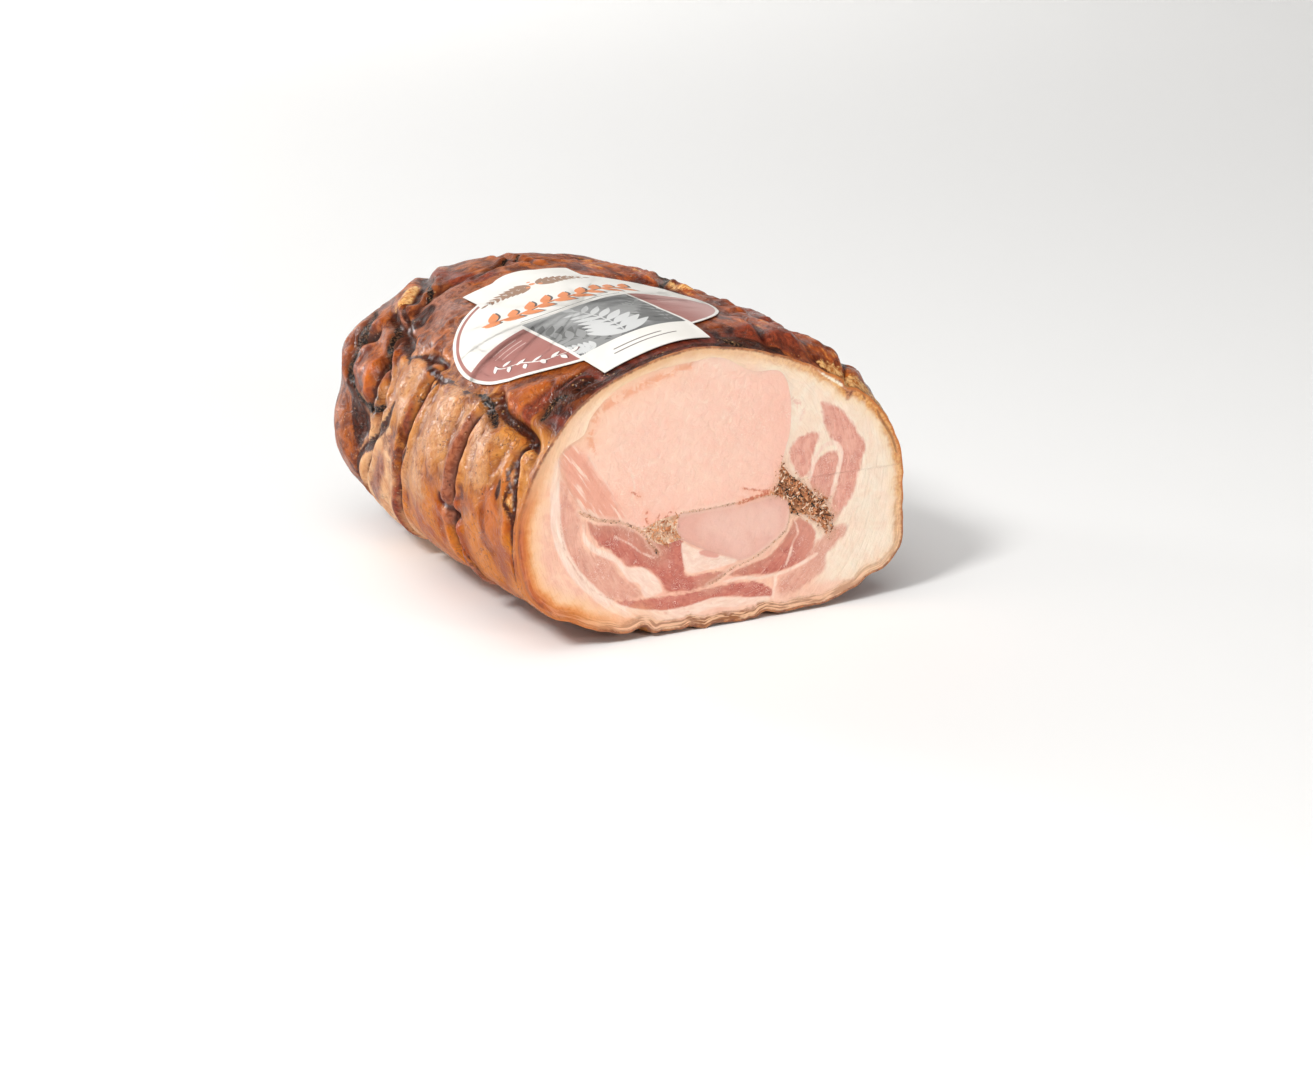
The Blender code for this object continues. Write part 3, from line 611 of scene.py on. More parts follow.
def offset(points, amount):
    """A closed line moved outwards by amount, or inwards if it is negative."""
    p = np.asarray(points, float)
    turned = []
    for d in (p - np.roll(p, 1, axis=0), np.roll(p, -1, axis=0) - p):
        d = d / np.linalg.norm(d, axis=1, keepdims=True)
        turned.append(np.stack([d[:, 1], -d[:, 0]], 1))
    area = np.sum(p[:, 0] * np.roll(p[:, 1], -1) - np.roll(p[:, 0], -1) * p[:, 1])
    side = turned[0] + turned[1]
    side = side / np.maximum(np.sum(side * side, axis=1, keepdims=True), 0.5) * 2
    return p + side * amount * np.sign(area)


def inner_lines(per_span):
    """The outlines of the pieces in the roll and of the space round them."""
    ahead = {name: curve(points, per_span) for name, points in INNER_EDGES.items()}
    back = {name: line[::-1] for name, line in ahead.items()}
    around = {
        "loin": [ahead[name] for name in ("loin", "loin_right", "loin_fillet", "loin_left")],
        "herb_seasoning_right": [ahead["right"], back["fillet_right"], back["loin_right"]],
        "tenderloin": [ahead["fillet"], ahead["fillet_left"], back["loin_fillet"],
                       ahead["fillet_right"]],
        "herb_seasoning_left": [ahead["left"], back["loin_left"], back["fillet_left"]],
        "space": [ahead[name] for name in ("loin", "right", "fillet", "left")],
    }
    return {name: np.vstack([line[:-1] for line in lines]) for name, lines in around.items()}


def label_reach(direction):
    """How far the label reaches from its middle, in a direction on its sheet."""
    s, c = np.sin(direction), np.cos(direction)
    side = PANEL_HALF_WIDTH / max(abs(s), 1e-9)
    end = (PANEL_FAR if c > 0 else PANEL_NEAR) / max(abs(c), 1e-9)
    reach = max(LABEL_RADIUS, min(side, end))
    if c > 0 and abs(s) * PANEL_FAR / c < ARCH_HALF_WIDTH:
        radius = (ARCH_HALF_WIDTH**2 + ARCH_RISE**2) / (2 * ARCH_RISE)
        middle = PANEL_FAR + ARCH_RISE - radius
        reach = max(reach, middle * c + np.sqrt(radius**2 - (middle * s) ** 2))
    return reach


def label_directions():
    """Directions round the label that include each of its corners."""
    notch = np.arcsin(PANEL_HALF_WIDTH / LABEL_RADIUS)
    stops = (0.0, np.arctan2(ARCH_HALF_WIDTH, PANEL_FAR), np.arctan2(PANEL_HALF_WIDTH, PANEL_FAR),
             notch, np.pi - notch, np.pi - np.arctan2(PANEL_HALF_WIDTH, PANEL_NEAR), np.pi)
    half = []
    for a, b, count in zip(stops, stops[1:], (3, 3, 3, 13, 3, 4)):
        half += list(a + (b - a) * np.arange(count) / count)
    return np.array(half + [np.pi] + [-a for a in reversed(half[1:])])


def linear(colour):
    """A screen colour of 0 to 255 as the shader's own linear one."""
    c = np.array(colour, float) / 255.0
    c = np.where(c <= 0.04045, c / 12.92, ((c + 0.055) / 1.055) ** 2.4)
    return (*c.tolist(), 1.0)


class Shade:
    """Builds one node material, whose colour is laid on coat by coat."""

    def __init__(self, name):
        self.material = bpy.data.materials.new(name)
        self.material.use_nodes = True
        self.tree = self.material.node_tree
        self.shader = self.tree.nodes["Principled BSDF"]
        self.colour = None

    def add(self, kind, **settings):
        node = self.tree.nodes.new(kind)
        for key, value in settings.items():
            setattr(node, key, value)
        return node

    def put(self, socket, value):
        if isinstance(value, bpy.types.NodeSocket):
            self.tree.links.new(value, socket)
        elif value is not None:
            socket.default_value = value

    def mask(self, name):
        return self.add("ShaderNodeAttribute", attribute_name=name).outputs["Fac"]

    def place(self):
        return self.add("ShaderNodeTexCoord").outputs["Object"]

    def math(self, operation, a, b=None):
        node = self.add("ShaderNodeMath", operation=operation)
        self.put(node.inputs[0], a)
        self.put(node.inputs[1], b)
        return node.outputs[0]

    def plus(self, a, b):
        return self.math("ADD", a, b)

    def times(self, first, *others):
        for other in others:
            first = self.math("MULTIPLY", first, other)
        return first

    def rise(self, value, low, high):
        """0 at low and 1 at high, with a smooth rise."""
        node = self.add("ShaderNodeMapRange", interpolation_type="SMOOTHSTEP")
        self.put(node.inputs["Value"], value)
        node.inputs["From Min"].default_value = low
        node.inputs["From Max"].default_value = high
        return node.outputs["Result"]

    def noise(self, size, detail=3.0, vector=None, distortion=0.0):
        """Noise about 0.5 whose features are about size millimetres."""
        node = self.add("ShaderNodeTexNoise")
        self.put(node.inputs["Vector"], vector or self.place())
        settings = {"Scale": (1.0 if vector else 1 / MM) / size, "Detail": detail, "Roughness": 0.55,
                    "Distortion": distortion}
        for key, value in settings.items():
            node.inputs[key].default_value = value
        return node.outputs["Fac"]

    def cells(self, size):
        """Distance to the nearest of some points about size millimetres apart."""
        node = self.add("ShaderNodeTexVoronoi", feature="F1")
        self.put(node.inputs["Vector"], self.place())
        node.inputs["Scale"].default_value = 1 / MM / size
        return node.outputs["Distance"]

    def stretch(self, vector, x, y, z=1.0):
        node = self.add("ShaderNodeVectorMath", operation="MULTIPLY")
        self.put(node.inputs[0], vector)
        node.inputs[1].default_value = (x, y, z)
        return node.outputs[0]

    def pair(self, across, along):
        """Two masks as the first two coordinates of a vector."""
        node = self.add("ShaderNodeCombineXYZ")
        self.put(node.inputs[0], self.mask(across))
        self.put(node.inputs[1], self.mask(along))
        return node.outputs[0]

    def mix(self, share, a, b, kind="MIX"):
        # Inputs 6 and 7 and output 2 of this node are its colours.
        node = self.add("ShaderNodeMix", data_type="RGBA", blend_type=kind)
        self.put(node.inputs[0], share)
        self.put(node.inputs[6], linear(a) if isinstance(a, tuple) else a)
        self.put(node.inputs[7], linear(b) if isinstance(b, tuple) else b)
        return node.outputs[2]

    def tones(self, value, low, high, a, b):
        """One colour where the value is low, and another where it is high."""
        return self.mix(self.rise(value, low, high), a, b)

    def lay(self, paint, *shares, kind="MIX"):
        """Lays a paint over the colour, by the product of the shares."""
        self.colour = self.mix(self.times(*shares), self.colour, paint, kind)

    def lay_zones(self, zones, noises):
        for name, low, high, reach, edge, tone, tone_low, tone_high, dark, light in zones:
            paint = self.tones(noises[tone], tone_low, tone_high, dark, light)
            self.lay(paint, self.frayed(name, low, high, noises[edge], reach))

    def frayed(self, name, low, high, noise, reach):
        """A mask of distances whose edge wanders by reach with a noise."""
        wander = self.times(self.math("SUBTRACT", noise, 0.5), 2 * reach)
        return self.rise(self.plus(self.mask(name), wander), low, high)

    def cracks(self, size, width, distortion):
        """1 on thin lines that wander over the surface."""
        off = self.math("SUBTRACT", self.noise(size, 2, distortion=distortion), 0.5)
        return self.rise(self.math("ABSOLUTE", off), width, 0.0)

    def bump(self, height, distance, strength, under=None):
        node = self.add("ShaderNodeBump")
        node.inputs["Strength"].default_value = strength
        node.inputs["Distance"].default_value = distance * MM
        self.put(node.inputs["Height"], height)
        self.put(node.inputs["Normal"], under)
        return node.outputs["Normal"]

    def finish(self, rough, normal=None, soft=0.0, coat=0.0, shine=0.5, wet=None):
        values = {
            "Base Color": self.colour, "Roughness": rough, "Normal": normal,
            "Coat Normal": wet or normal, "Specular IOR Level": shine, "Coat Weight": coat,
            "Coat Roughness": 0.08, "Subsurface Weight": soft,
            "Subsurface Radius": (1.0, 0.45, 0.28), "Subsurface Scale": 3.0 * MM,
        }
        for key, value in values.items():
            self.put(self.shader.inputs[key], value)
        return self.material


def segment_gap(p, a, b):
    """Distances of points to the segment from a to b, and how far along it they lie."""
    d = b - a
    t = np.clip(((p - a) @ d) / (d @ d), 0, 1)
    return np.hypot(*(p - a - t[:, None] * d).T), t


def line_gap(p, line):
    """Millimetres to a closed line."""
    best = np.full(len(p), FAR_AWAY)
    for a, b in zip(line, np.roll(line, -1, axis=0)):
        best = np.minimum(best, segment_gap(p, a, b)[0])
    return best


def path_distance(p, points):
    """Millimetres to an open line, and how far along it that is."""
    line = curve(points, 5) if len(points) > 2 else np.array(points, float)
    best = np.full(len(p), FAR_AWAY)
    place = np.zeros(len(p))
    for i, (a, b) in enumerate(zip(line, line[1:])):
        away, t = segment_gap(p, a, b)
        place = np.where(away < best, (i + t) / (len(line) - 1), place)
        best = np.minimum(best, away)
    return best, place


def inside_line(p, line):
    inside = np.zeros(len(p), bool)
    for a, b in zip(line, np.roll(line, -1, axis=0)):
        crosses = (a[1] > p[:, 1]) != (b[1] > p[:, 1])
        with np.errstate(divide="ignore", invalid="ignore"):
            x = a[0] + (p[:, 1] - a[1]) * (b[0] - a[0]) / (b[1] - a[1])
        inside ^= crosses & (p[:, 0] < x)
    return inside


def inside_distance(p, points, per_span=4):
    """Millimetres inside a closed curve, negative outside it."""
    line = curve(points, per_span, closed=True)
    best = line_gap(p, line)
    return np.where(inside_line(p, line), best, -best)


def nearest_region(p, regions):
    """How far inside the nearest of some closed curves, negative outside them."""
    return np.max([inside_distance(p, region) for region in regions], axis=0)


def nearest_path(p, paths):
    """How far inside the nearest of some stripes, negative outside them."""
    found = np.full(len(p), -FAR_AWAY)
    for width, points in paths:
        d, place = path_distance(p, points)
        taper = np.sqrt(np.clip(1.3 - (2 * place - 1) ** 4, 0.1, 1))
        found = np.maximum(found, width * taper - d)
    return found


def flat_points(p):
    return np.stack([p[:, 0], 0 * p[:, 0], p[:, 1]], 1)


def cut_points(p, depth):
    """Points at (x, z) places, at a depth behind the cut face."""
    return flat_points(p) + np.stack([0 * p[:, 0], depth - LENGTH / 2 + 0 * p[:, 0], 0 * p[:, 0]], 1)


def face_masks(p):
    """Masks of the cut face at (x, z) points."""
    x, z = p.T
    angle = np.degrees(np.arctan2(z - CENTRE_Z, x)) % 360.0
    masks = {name: nearest_region(p, regions) for name, regions in REGIONS.items()}
    masks.update({name: nearest_path(p, paths) for name, paths in STRIPES.items()})
    masks["white_fat"] = np.maximum(masks["white_fat"], masks.pop("white_lines"))
    masks.update({
        "rim": inside_distance(p, RIND, 8),
        "right_side": smooth(x + 0.3 * (z - 40), 20, 70),
        "low_side": smooth(-z, -20, -6),
        "cap": smooth(z - 0.55 * x, 118, 138) + hump(angle, 96, 40) * smooth(z, 118, 128),
        "left_rim": np.clip(1.3 * hump(angle, 199, 28), 0, 1),
        "left_edge": np.clip(1.4 * hump(angle, 194, 17), 0, 1),
        "top_rim": hump(angle, 115, 45),
        "right_rim": hump(angle, 20, 50),
        "low_rim": hump(angle, 275, 60),
        "lay_u": np.radians(angle) * LAYER_RADIUS,
        "lay_v": np.hypot(x, z - CENTRE_Z),
        "grain_u": x * np.cos(GRAIN) - z * np.sin(GRAIN),
        "grain_v": x * np.sin(GRAIN) + z * np.cos(GRAIN),
    })
    return masks


def grid_inside(outer, hole, step):
    """Points in staggered rows that fill an outline, less a hole, clear of both."""
    low, high = outer.min(0), outer.max(0)
    rows = []
    for k, z in enumerate(np.arange(low[1], high[1], step * ROW_SPACING)):
        x = np.arange(low[0] + (k % 2) * step / 2, high[0], step)
        rows.append(np.stack([x, np.full_like(x, z)], 1))
    grid = np.vstack(rows)
    grid = grid[inside_line(grid, outer)]
    if hole is not None:
        grid = grid[~inside_line(grid, hole)]
        grid = grid[line_gap(grid, hole) > CLEAR_OF_LINES * step]
    return grid[line_gap(grid, outer) > CLEAR_OF_LINES * step]


def filled_face(outer, hole=None):
    """Triangles that fill an outline, less a hole.

    The first points are those of the outline, then those of the hole."""
    lines = [outer] if hole is None else [outer, hole]
    points = np.vstack(lines + [grid_inside(outer, hole, FACE_STEP)])
    edges = []
    for line in lines:
        start, n = len(edges), len(line)
        edges += [(start + i, start + (i + 1) % n) for i in range(n)]
    found = delaunay_2d_cdt([Vector(p) for p in points], edges, [], 0, 1e-7)
    spots = np.array([(v.x, v.y) for v in found[0]])
    tris = np.array(found[2])
    middle = spots[tris].mean(1)
    keep = inside_line(middle, outer)
    if hole is not None:
        keep &= ~inside_line(middle, hole)
    if len(spots) != len(points):
        raise ValueError("the face's outline crosses itself")
    return spots, tris[keep]


def make_piece(name, points, faces, materials, slots=None, masks=None):
    """A smooth-shaded piece from points in millimetres."""
    moved = (np.asarray(points, float) + (SHIFT_X, SHIFT_Y, 0.0)) * MM
    mesh = bpy.data.meshes.new(name)
    mesh.from_pydata(moved.tolist(), [], faces)
    for material in materials:
        mesh.materials.append(material)
    if slots is not None:
        mesh.polygons.foreach_set("material_index", slots)
    for key, values in masks.items():
        layer = mesh.attributes.new(key, "FLOAT", "POINT")
        layer.data.foreach_set("value", np.asarray(values, np.float32))
    work = bmesh.new()
    work.from_mesh(mesh)
    bmesh.ops.recalc_face_normals(work, faces=work.faces)
    for face in work.faces:
        face.smooth = True
    for edge in work.edges:
        sides = {face.material_index for face in edge.link_faces}
        if len(sides) > 1 or edge.calc_face_angle(0.0) > SHARP_ANGLE:
            edge.smooth = False
    work.to_mesh(mesh)
    work.free()
    mesh.update()
    piece = bpy.data.objects.new(name, mesh)
    bpy.context.scene.collection.objects.link(piece)
    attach(piece, "root")
    return piece


def shrink(outline, depth):
    """An outline of the roll as it is at a depth behind the cut."""
    scale = 1 - (1 - INNER_END_SCALE) * depth / INNER_DEPTH
    return (outline - INNER_AXIS) * scale + INNER_AXIS


def skin_angles():
    """Angles of the skin's columns, closer together on the left flank."""
    fine = np.linspace(0, 360, 1441)
    weight = 0.75 + 0.9 * hump(fine, 165, 42) + 0.2 * hump(fine, 60, 50)
    weight = weight - 0.3 * hump(fine, 280, 45)
    run = np.append(0, np.cumsum((weight[1:] + weight[:-1]) / 2))
    return np.interp(np.arange(SKIN_COLUMNS) / SKIN_COLUMNS, run / run[-1], fine)


def skin_rows(angles):
    """Places along the roast of the skin's rows, which follow its three rings."""
    lines = [np.zeros_like(angles)]
    lines += [periodic(ring, angles) for ring in RINGS]
    lines.append(np.full_like(angles, STRAIGHT))
    rows = []
    for near, far, count in zip(lines, lines[1:], SKIN_BANDS):
        for t in np.arange(count) / count:
            t = 0.75 * t + 0.25 * (0.5 - 0.5 * np.cos(np.pi * t))
            rows.append(near + t * (far - near))
    for t in np.linspace(0, 1, SKIN_END_ROWS + 1)[:-1]:
        rows.append(lines[-1] + SKIN_END_TURN * t**0.9)
    return np.array(rows)


def mark_fields(angle, depth, wander):
    """How far inside the marks of each kind, and the height they add."""
    fields = {kind: np.full(np.shape(angle), UNMARKED) for kind in KINDS}
    height = np.zeros(np.shape(angle))
    for kind, width, up, line in SKIN_MARKS:
        line = np.array(line, float)
        middle = line[:, 0].mean()
        s = MM_PER_DEGREE * turn(angle, middle)
        near = np.abs(s) < MM_PER_DEGREE * np.ptp(line[:, 0]) / 2 + width + 16
        near &= (depth > line[:, 1].min() - width - 9) & (depth < line[:, 1].max() + width + 9)
        q = np.stack([s[near] + wander[near], depth[near] + 1.3 * wander[near]], 1)
        path = np.stack([MM_PER_DEGREE * (line[:, 0] - middle), line[:, 1]], 1)
        d, place = path_distance(q, path)
        taper = np.sqrt(np.clip(1.15 - (2 * place - 1) ** 4, 0.05, 1)) if len(line) > 2 else 1.0
        fields[kind][near] = np.maximum(fields[kind][near], width * taper - d)
        height[near] += up * np.exp(-(d / (0.8 * width * taper)) ** 2)
        if up < 0 and width < 4:
            bank = np.exp(-((d - 2.0 * width) / width) ** 2)
            height[near] += 0.45 * abs(up) * bank * taper
    return fields, height


def blurred(height, times):
    """Heights of the skin's grid averaged over their neighbours."""
    for _ in range(times):
        height = (2 * height + np.roll(height, 1, 1) + np.roll(height, -1, 1)) / 4
        padded = np.vstack([height[:1], height, height[-1:]])
        height = (2 * height + padded[:-2] + padded[2:]) / 4
    return height


def ragged_edge(angle, along):
    """How far the cut's uneven edge is drawn in from the smooth outline."""
    a = np.radians(angle)
    p = np.stack([LAYER_RADIUS * np.cos(a), 0.5 * along, LAYER_RADIUS * np.sin(a)], -1)
    much = 0.35 + 1.3 * hump(angle, 262, 62) + 0.75 * hump(angle, 18, 60)
    wave = 0.5 + 0.5 * lattice_noise(p, 6.5, 61) + 0.3 * lattice_noise(p, 2.8, 62)
    return much * np.clip(wave, 0, 1.5) * np.exp(-along / 4.5)


def skin_surface(angle, along):
    """Points of the skin with its finest relief, and its masks."""
    p = body(angle, along)
    height, creased = relief(angle, along, p)
    depth = skin_depth(along)
    bare = 1 - under_label(angle, np.minimum(depth, STRAIGHT))
    fields, marked = mark_fields(angle, depth, 1.3 * lattice_noise(p, 8.0, 71))
    seat = np.exp(-(turn(angle, 272) / 40.0) ** 4)
    high = 1 - hump(angle, 205, 34)
    fold = lattice_noise(p * (0.4, 1.0, 0.4), 15.0, 8)
    folds = -0.6 * np.exp(-(fold / 0.09) ** 2) + 0.8 * np.abs(fold)
    fine = 0.3 * lattice_noise(p, 5.5, 5) + 0.2 * lattice_noise(p, 2.8, 6)
    wrinkles = 0.7 * hump(angle, 42, 42) * lattice_noise(p * (1.0, 0.16, 1.0), 3.8, 7)
    added = marked + fine * (0.3 + 0.9 * high) + folds * (0.25 + 0.55 * high) + wrinkles
    height = height + bare * (1 - seat) * smooth(along, 0, 5) * added - ragged_edge(angle, along)
    p = p + height[..., None] * body_normal(angle, along)
    p[..., 1] = np.where(along <= 0, -LENGTH / 2, p[..., 1])
    p[..., 2] = np.maximum(p[..., 2], 0.0)
    masks = skin_masks(angle, depth, p)
    masks["crease"] = creased
    # How far the skin lies below its blurred neighbours, for painted shade in its hollows and a painted
    # highlight on its ridges.
    masks["cavity"] = blurred(height, 16) - height
    masks["fold"] = np.exp(-(fold / 0.11) ** 2) * (0.15 + 0.6 * high)
    masks.update({kind: np.where(bare > 0.2, field, UNMARKED) for kind, field in fields.items()})
    return p, masks


def skin_masks(angle, depth, p):
    """Masks of the skin's zones of colour."""
    patch = lattice_noise(p, 30.0, 21) + 0.6 * lattice_noise(p, 13.0, 22)
    streak = lattice_noise(p * (1.0, 0.2, 1.0), 9.0, 23)
    flank = hump(angle, 166, 17) * (1 - smooth(depth, 150, 175))
    low = hump(angle, 202, 26) * (1 - 0.6 * smooth(depth, 130, 160))
    pale_low = 1.5 * hump(angle, 199, 24) * smooth(depth, 128, 146) * (1 - smooth(depth, 184, 206))
    right = hump(angle, 42, 52) * (1 - 0.3 * smooth(depth, 190, 250))
    return {
        "flank": flank + 0.35 * patch,
        "low": low + 0.3 * patch,
        "pale_low": pale_low + 0.3 * patch,
        "under": hump(angle, 275, 45) + 0.25 * patch,
        "top_far": hump(angle, 118, 40) * smooth(depth, 60, 150) + 0.25 * patch,
        "right": right + 0.2 * streak,
        "edge_dark": hump(angle, 112, 44) * (1 - smooth(depth, 14, 30)) + 0.3 * streak,
        "end": smooth(depth, 195, 240) + 0.3 * patch,
        "glaze": 0.9 - 0.7 * hump(angle, 214, 40) - 0.7 * hump(angle, 96, 44),
        "rim": depth,
    }


def skin_material():
    s = Shade("browned_skin")
    noises = {
        "fine": s.noise(2.4, 5, distortion=0.6), "middle": s.noise(8.0, 4, distortion=0.9),
        "broad": s.noise(20.0, 3, distortion=0.6),
        "streaky": s.noise(4.5, 4, s.stretch(s.place(), 1000.0, 170.0, 1000.0)),
    }
    fine, middle, broad, streaky = noises.values()
    s.colour = s.tones(middle, 0.35, 0.65, (96, 36, 10), (164, 84, 28))
    s.lay_zones(SKIN_ZONES, noises)
    s.lay((214, 136, 62), s.frayed("right", 0.3, 0.7, fine, 0.3), s.rise(streaky, 0.58, 0.7))
    s.lay_zones(SKIN_PATCHES, noises)
    # Painted shade darkens the skin's hollows and a warm painted highlight lightens its ridges.
    s.lay((112, 48, 24), s.rise(s.mask("cavity"), 0.05, 1.1), kind="MULTIPLY")
    s.lay((116, 52, 22), s.mask("fold"), 0.5)
    s.lay((255, 214, 160), s.rise(s.mask("cavity"), -0.1, -1.2), 0.3, kind="SOFT_LIGHT")
    lines = skin_burns(s, fine, broad)
    rough = s.plus(s.times(fine, 0.3), 0.3)
    rough = s.plus(rough, s.times(s.rise(s.mask("char"), -1.0, 1.0), 0.15))
    wet = s.bump(middle, 2.2, 0.6)
    wet = s.bump(fine, 0.9, 0.5, wet)
    wet = s.bump(s.math("SUBTRACT", 1.0, lines), 0.9, 0.5, wet)
    normal = s.bump(s.noise(1.5, 5), 0.5, 0.5, wet)
    glaze = s.times(s.mask("glaze"), s.rise(s.noise(12.0, 3), 0.3, 0.6))
    return s.finish(rough, normal, soft=0.08, coat=glaze, shine=0.1, wet=wet)


def skin_burns(s, fine, broad):
    """Burnt creases, char, thin dark lines and specks. Gives back the lines."""
    umber = s.tones(fine, 0.3, 0.7, (34, 14, 7), (84, 36, 18))
    s.lay(umber, s.frayed("crease", 0.35, 0.8, fine, 0.3))
    s.lay(umber, s.frayed("umber", -0.5, 0.6, fine, 1.4))
    ash = s.tones(s.noise(1.2, 4), 0.48, 0.64, (20, 10, 6), (104, 72, 50))
    s.lay((84, 40, 20), s.rise(s.mask("char"), -3.5, 0.5), 0.6)
    s.lay(ash, s.frayed("char", -0.1, 0.6, fine, 1.3))
    lines = s.times(s.cracks(11.0, 0.02, 1.8), s.rise(broad, 0.46, 0.56))
    s.lay((104, 52, 26), lines, 0.65)
    s.lay((56, 28, 14), s.rise(s.cells(3.4), 0.2, 0.12), s.rise(s.noise(14.0, 2), 0.5, 0.62), 0.7)
    s.lay((226, 176, 120), s.rise(s.cells(2.6), 0.24, 0.14), s.rise(s.noise(9.0, 2), 0.54, 0.64),
          0.4)
    return lines


def meat_layers(s):
    """What the cut shows on every piece. Gives back the noises that other layers use."""
    fine = s.noise(1.6, 5, distortion=0.4)
    middle = s.noise(5.0, 4, distortion=0.8)
    turns = s.pair("lay_u", "lay_v")
    layers = s.noise(1.0, 5, s.stretch(turns, 0.12, 0.5), distortion=0.6)
    threads = s.noise(1.0, 4, s.stretch(turns, 0.16, 1.1), distortion=0.8)
    edge = s.plus(s.times(middle, 0.5), s.times(layers, 0.5))
    lean_layers(s, edge, s.plus(s.times(middle, 0.6), s.times(layers, 0.4)))
    lean_meat = s.rise(s.mask("pale_lean"), 0.0, 1.5)
    for name in ("rose", "deep"):
        lean_meat = s.math("MAXIMUM", s.rise(s.mask(name), 0.0, 1.5), lean_meat)
    s.lay((248, 212, 194), s.rise(threads, 0.6, 0.72), lean_meat, 0.35)
    s.lay((250, 220, 202), s.cracks(3.0, 0.03, 2.2), s.rise(middle, 0.48, 0.6), lean_meat, 0.7)
    white = s.tones(layers, 0.3, 0.7, (251, 224, 206), (243, 206, 186))
    s.lay(white, s.frayed("white_fat", -0.5, 0.8, edge, 1.2))
    s.lay((226, 164, 148), s.frayed("island", -0.4, 0.8, edge, 0.8))
    strand_layers(s, middle)
    s.lay((236, 160, 122), s.rise(s.mask("blotch"), -2.0, 1.2), s.rise(middle, 0.44, 0.6), 0.75)
    s.lay((196, 132, 104), s.rise(s.mask("dark_line"), -0.5, 0.2), s.rise(middle, 0.35, 0.6), 0.6)
    s.lay((226, 156, 140), s.rise(s.mask("faint"), -2.2, 0.8), s.rise(middle, 0.45, 0.6), 0.5)
    seam_layers(s, fine, middle)
    return fine, middle, layers


def lean_layers(s, edge, blend):
    """The pale, the rose and the deep lean of the belly."""
    pale = s.tones(blend, 0.36, 0.62, (230, 174, 152), (216, 148, 128))
    s.lay(pale, s.frayed("pale_lean", -1.2, 2.2, edge, 3.0), 0.9)
    rose = s.tones(blend, 0.38, 0.62, (234, 174, 154), (216, 144, 126))
    s.lay(rose, s.frayed("rose", -0.8, 1.6, edge, 2.6))
    deep = s.tones(blend, 0.34, 0.66, (208, 126, 106), (182, 88, 74))
    blotch = s.rise(s.noise(11.0, 3, distortion=1.0), 0.5, 0.68)
    for share, much, paint in ((s.rise(s.mask("right_side"), 0.2, 0.6), 0.55, (224, 160, 138)),
                               (blotch, 0.4, (228, 164, 144)),
                               (s.rise(s.mask("seam"), -9.0, -1.5), 0.65, (204, 142, 118))):
        deep = s.mix(s.times(share, much), deep, paint)
    s.lay(deep, s.frayed("deep", -0.5, 1.2, edge, 2.2))


def strand_layers(s, middle):
    """The fibrous meat left of the loin, in strands of lean and fat."""
    grain = s.stretch(s.pair("grain_u", "grain_v"), 0.5, 0.06)
    strands = s.noise(1.0, 4, grain, distortion=0.4)
    fibres = s.frayed("fibrous", -3.0, 2.5, middle, 2.0)
    s.lay((232, 162, 138), fibres, 0.85)
    s.lay((222, 146, 122), fibres, s.rise(strands, 0.5, 0.68), 0.45)
    s.lay((252, 220, 200), fibres, s.rise(strands, 0.46, 0.34), 0.8)


def seam_layers(s, fine, middle):
    """Specks of herb and pepper along the seams of the roll."""
    s.lay((246, 212, 190), s.frayed("seam", -2.2, -0.8, middle, 1.2), 0.3)
    reach = s.frayed("seam", -0.5, 0.2, fine, 1.2)
    s.lay((198, 144, 108), reach, 0.4)
    brown = s.tones(fine, 0.4, 0.6, (96, 56, 32), (164, 108, 70))
    s.lay(brown, reach, s.rise(s.noise(1.3, 4, distortion=1.2), 0.54, 0.64), 0.85)
    spread = s.frayed("spread", -4.0, 2.0, middle, 3.5)
    s.lay((222, 166, 134), spread, 0.6)
    s.lay(brown, spread, s.rise(s.noise(0.9, 4, distortion=1.2), 0.54, 0.64), 0.6)
    s.lay((240, 160, 122), s.rise(s.mask("red_streak"), -3.0, 0.6), s.rise(middle, 0.38, 0.6), 0.45)
    s.lay((196, 84, 44), s.frayed("red_streak", -0.5, 0.4, fine, 0.9), s.rise(fine, 0.38, 0.55),
          0.75)


def rim_layers(s, fine, middle):
    """The browned edge of the cut face."""
    edge = s.plus(s.mask("rim"), s.times(s.math("SUBTRACT", middle, 0.5), 5.0))
    left, strong, right = s.mask("left_rim"), s.mask("left_edge"), s.mask("right_rim")
    gold = s.tones(fine, 0.35, 0.65, (206, 128, 54), (236, 178, 104))
    turns = s.stretch(s.pair("lay_u", "rim"), 0.09, 0.9)
    strata = s.tones(s.noise(1.0, 3, turns, distortion=0.5), 0.42, 0.56, (232, 186, 148),
                     (150, 92, 52))
    s.lay((248, 200, 146), s.rise(edge, 15.0, 7.0), left, 0.75)
    s.lay((224, 136, 52), s.rise(edge, 10.0, 4.5), left)
    s.lay((196, 82, 12), s.rise(edge, 7.0, 2.0), strong)
    s.lay((130, 46, 8), s.rise(edge, 3.0, 0.8), strong, 0.9)
    s.lay((228, 176, 118), s.rise(edge, 8.0, 0.5), s.mask("top_rim"), 0.85)
    s.lay((246, 214, 172), s.rise(edge, 10.0, 5.0), right, 0.6)
    s.lay(gold, s.rise(edge, 6.5, 2.5), right)
    tucked = s.tones(fine, 0.35, 0.65, (120, 58, 34), (206, 136, 90))
    s.lay(tucked, s.frayed("tuck", -1.4, 0.6, middle, 1.2), 0.9)
    s.lay((142, 80, 36), s.frayed("gap", -0.5, 0.3, fine, 0.6), 0.85)
    s.lay((253, 240, 216), s.frayed("lip", -0.5, 0.5, fine, 0.7))
    s.lay(strata, s.rise(edge, 6.5, 3.5), s.mask("low_rim"))
    dark = s.tones(middle, 0.4, 0.6, (120, 60, 30), (180, 112, 62))
    dark = s.tones(s.math("MAXIMUM", left, right), 0.4, 0.8, dark, (196, 112, 44))
    s.lay(dark, s.rise(s.plus(s.mask("rim"), s.times(fine, 1.6)), 2.6, 1.4), 0.9)


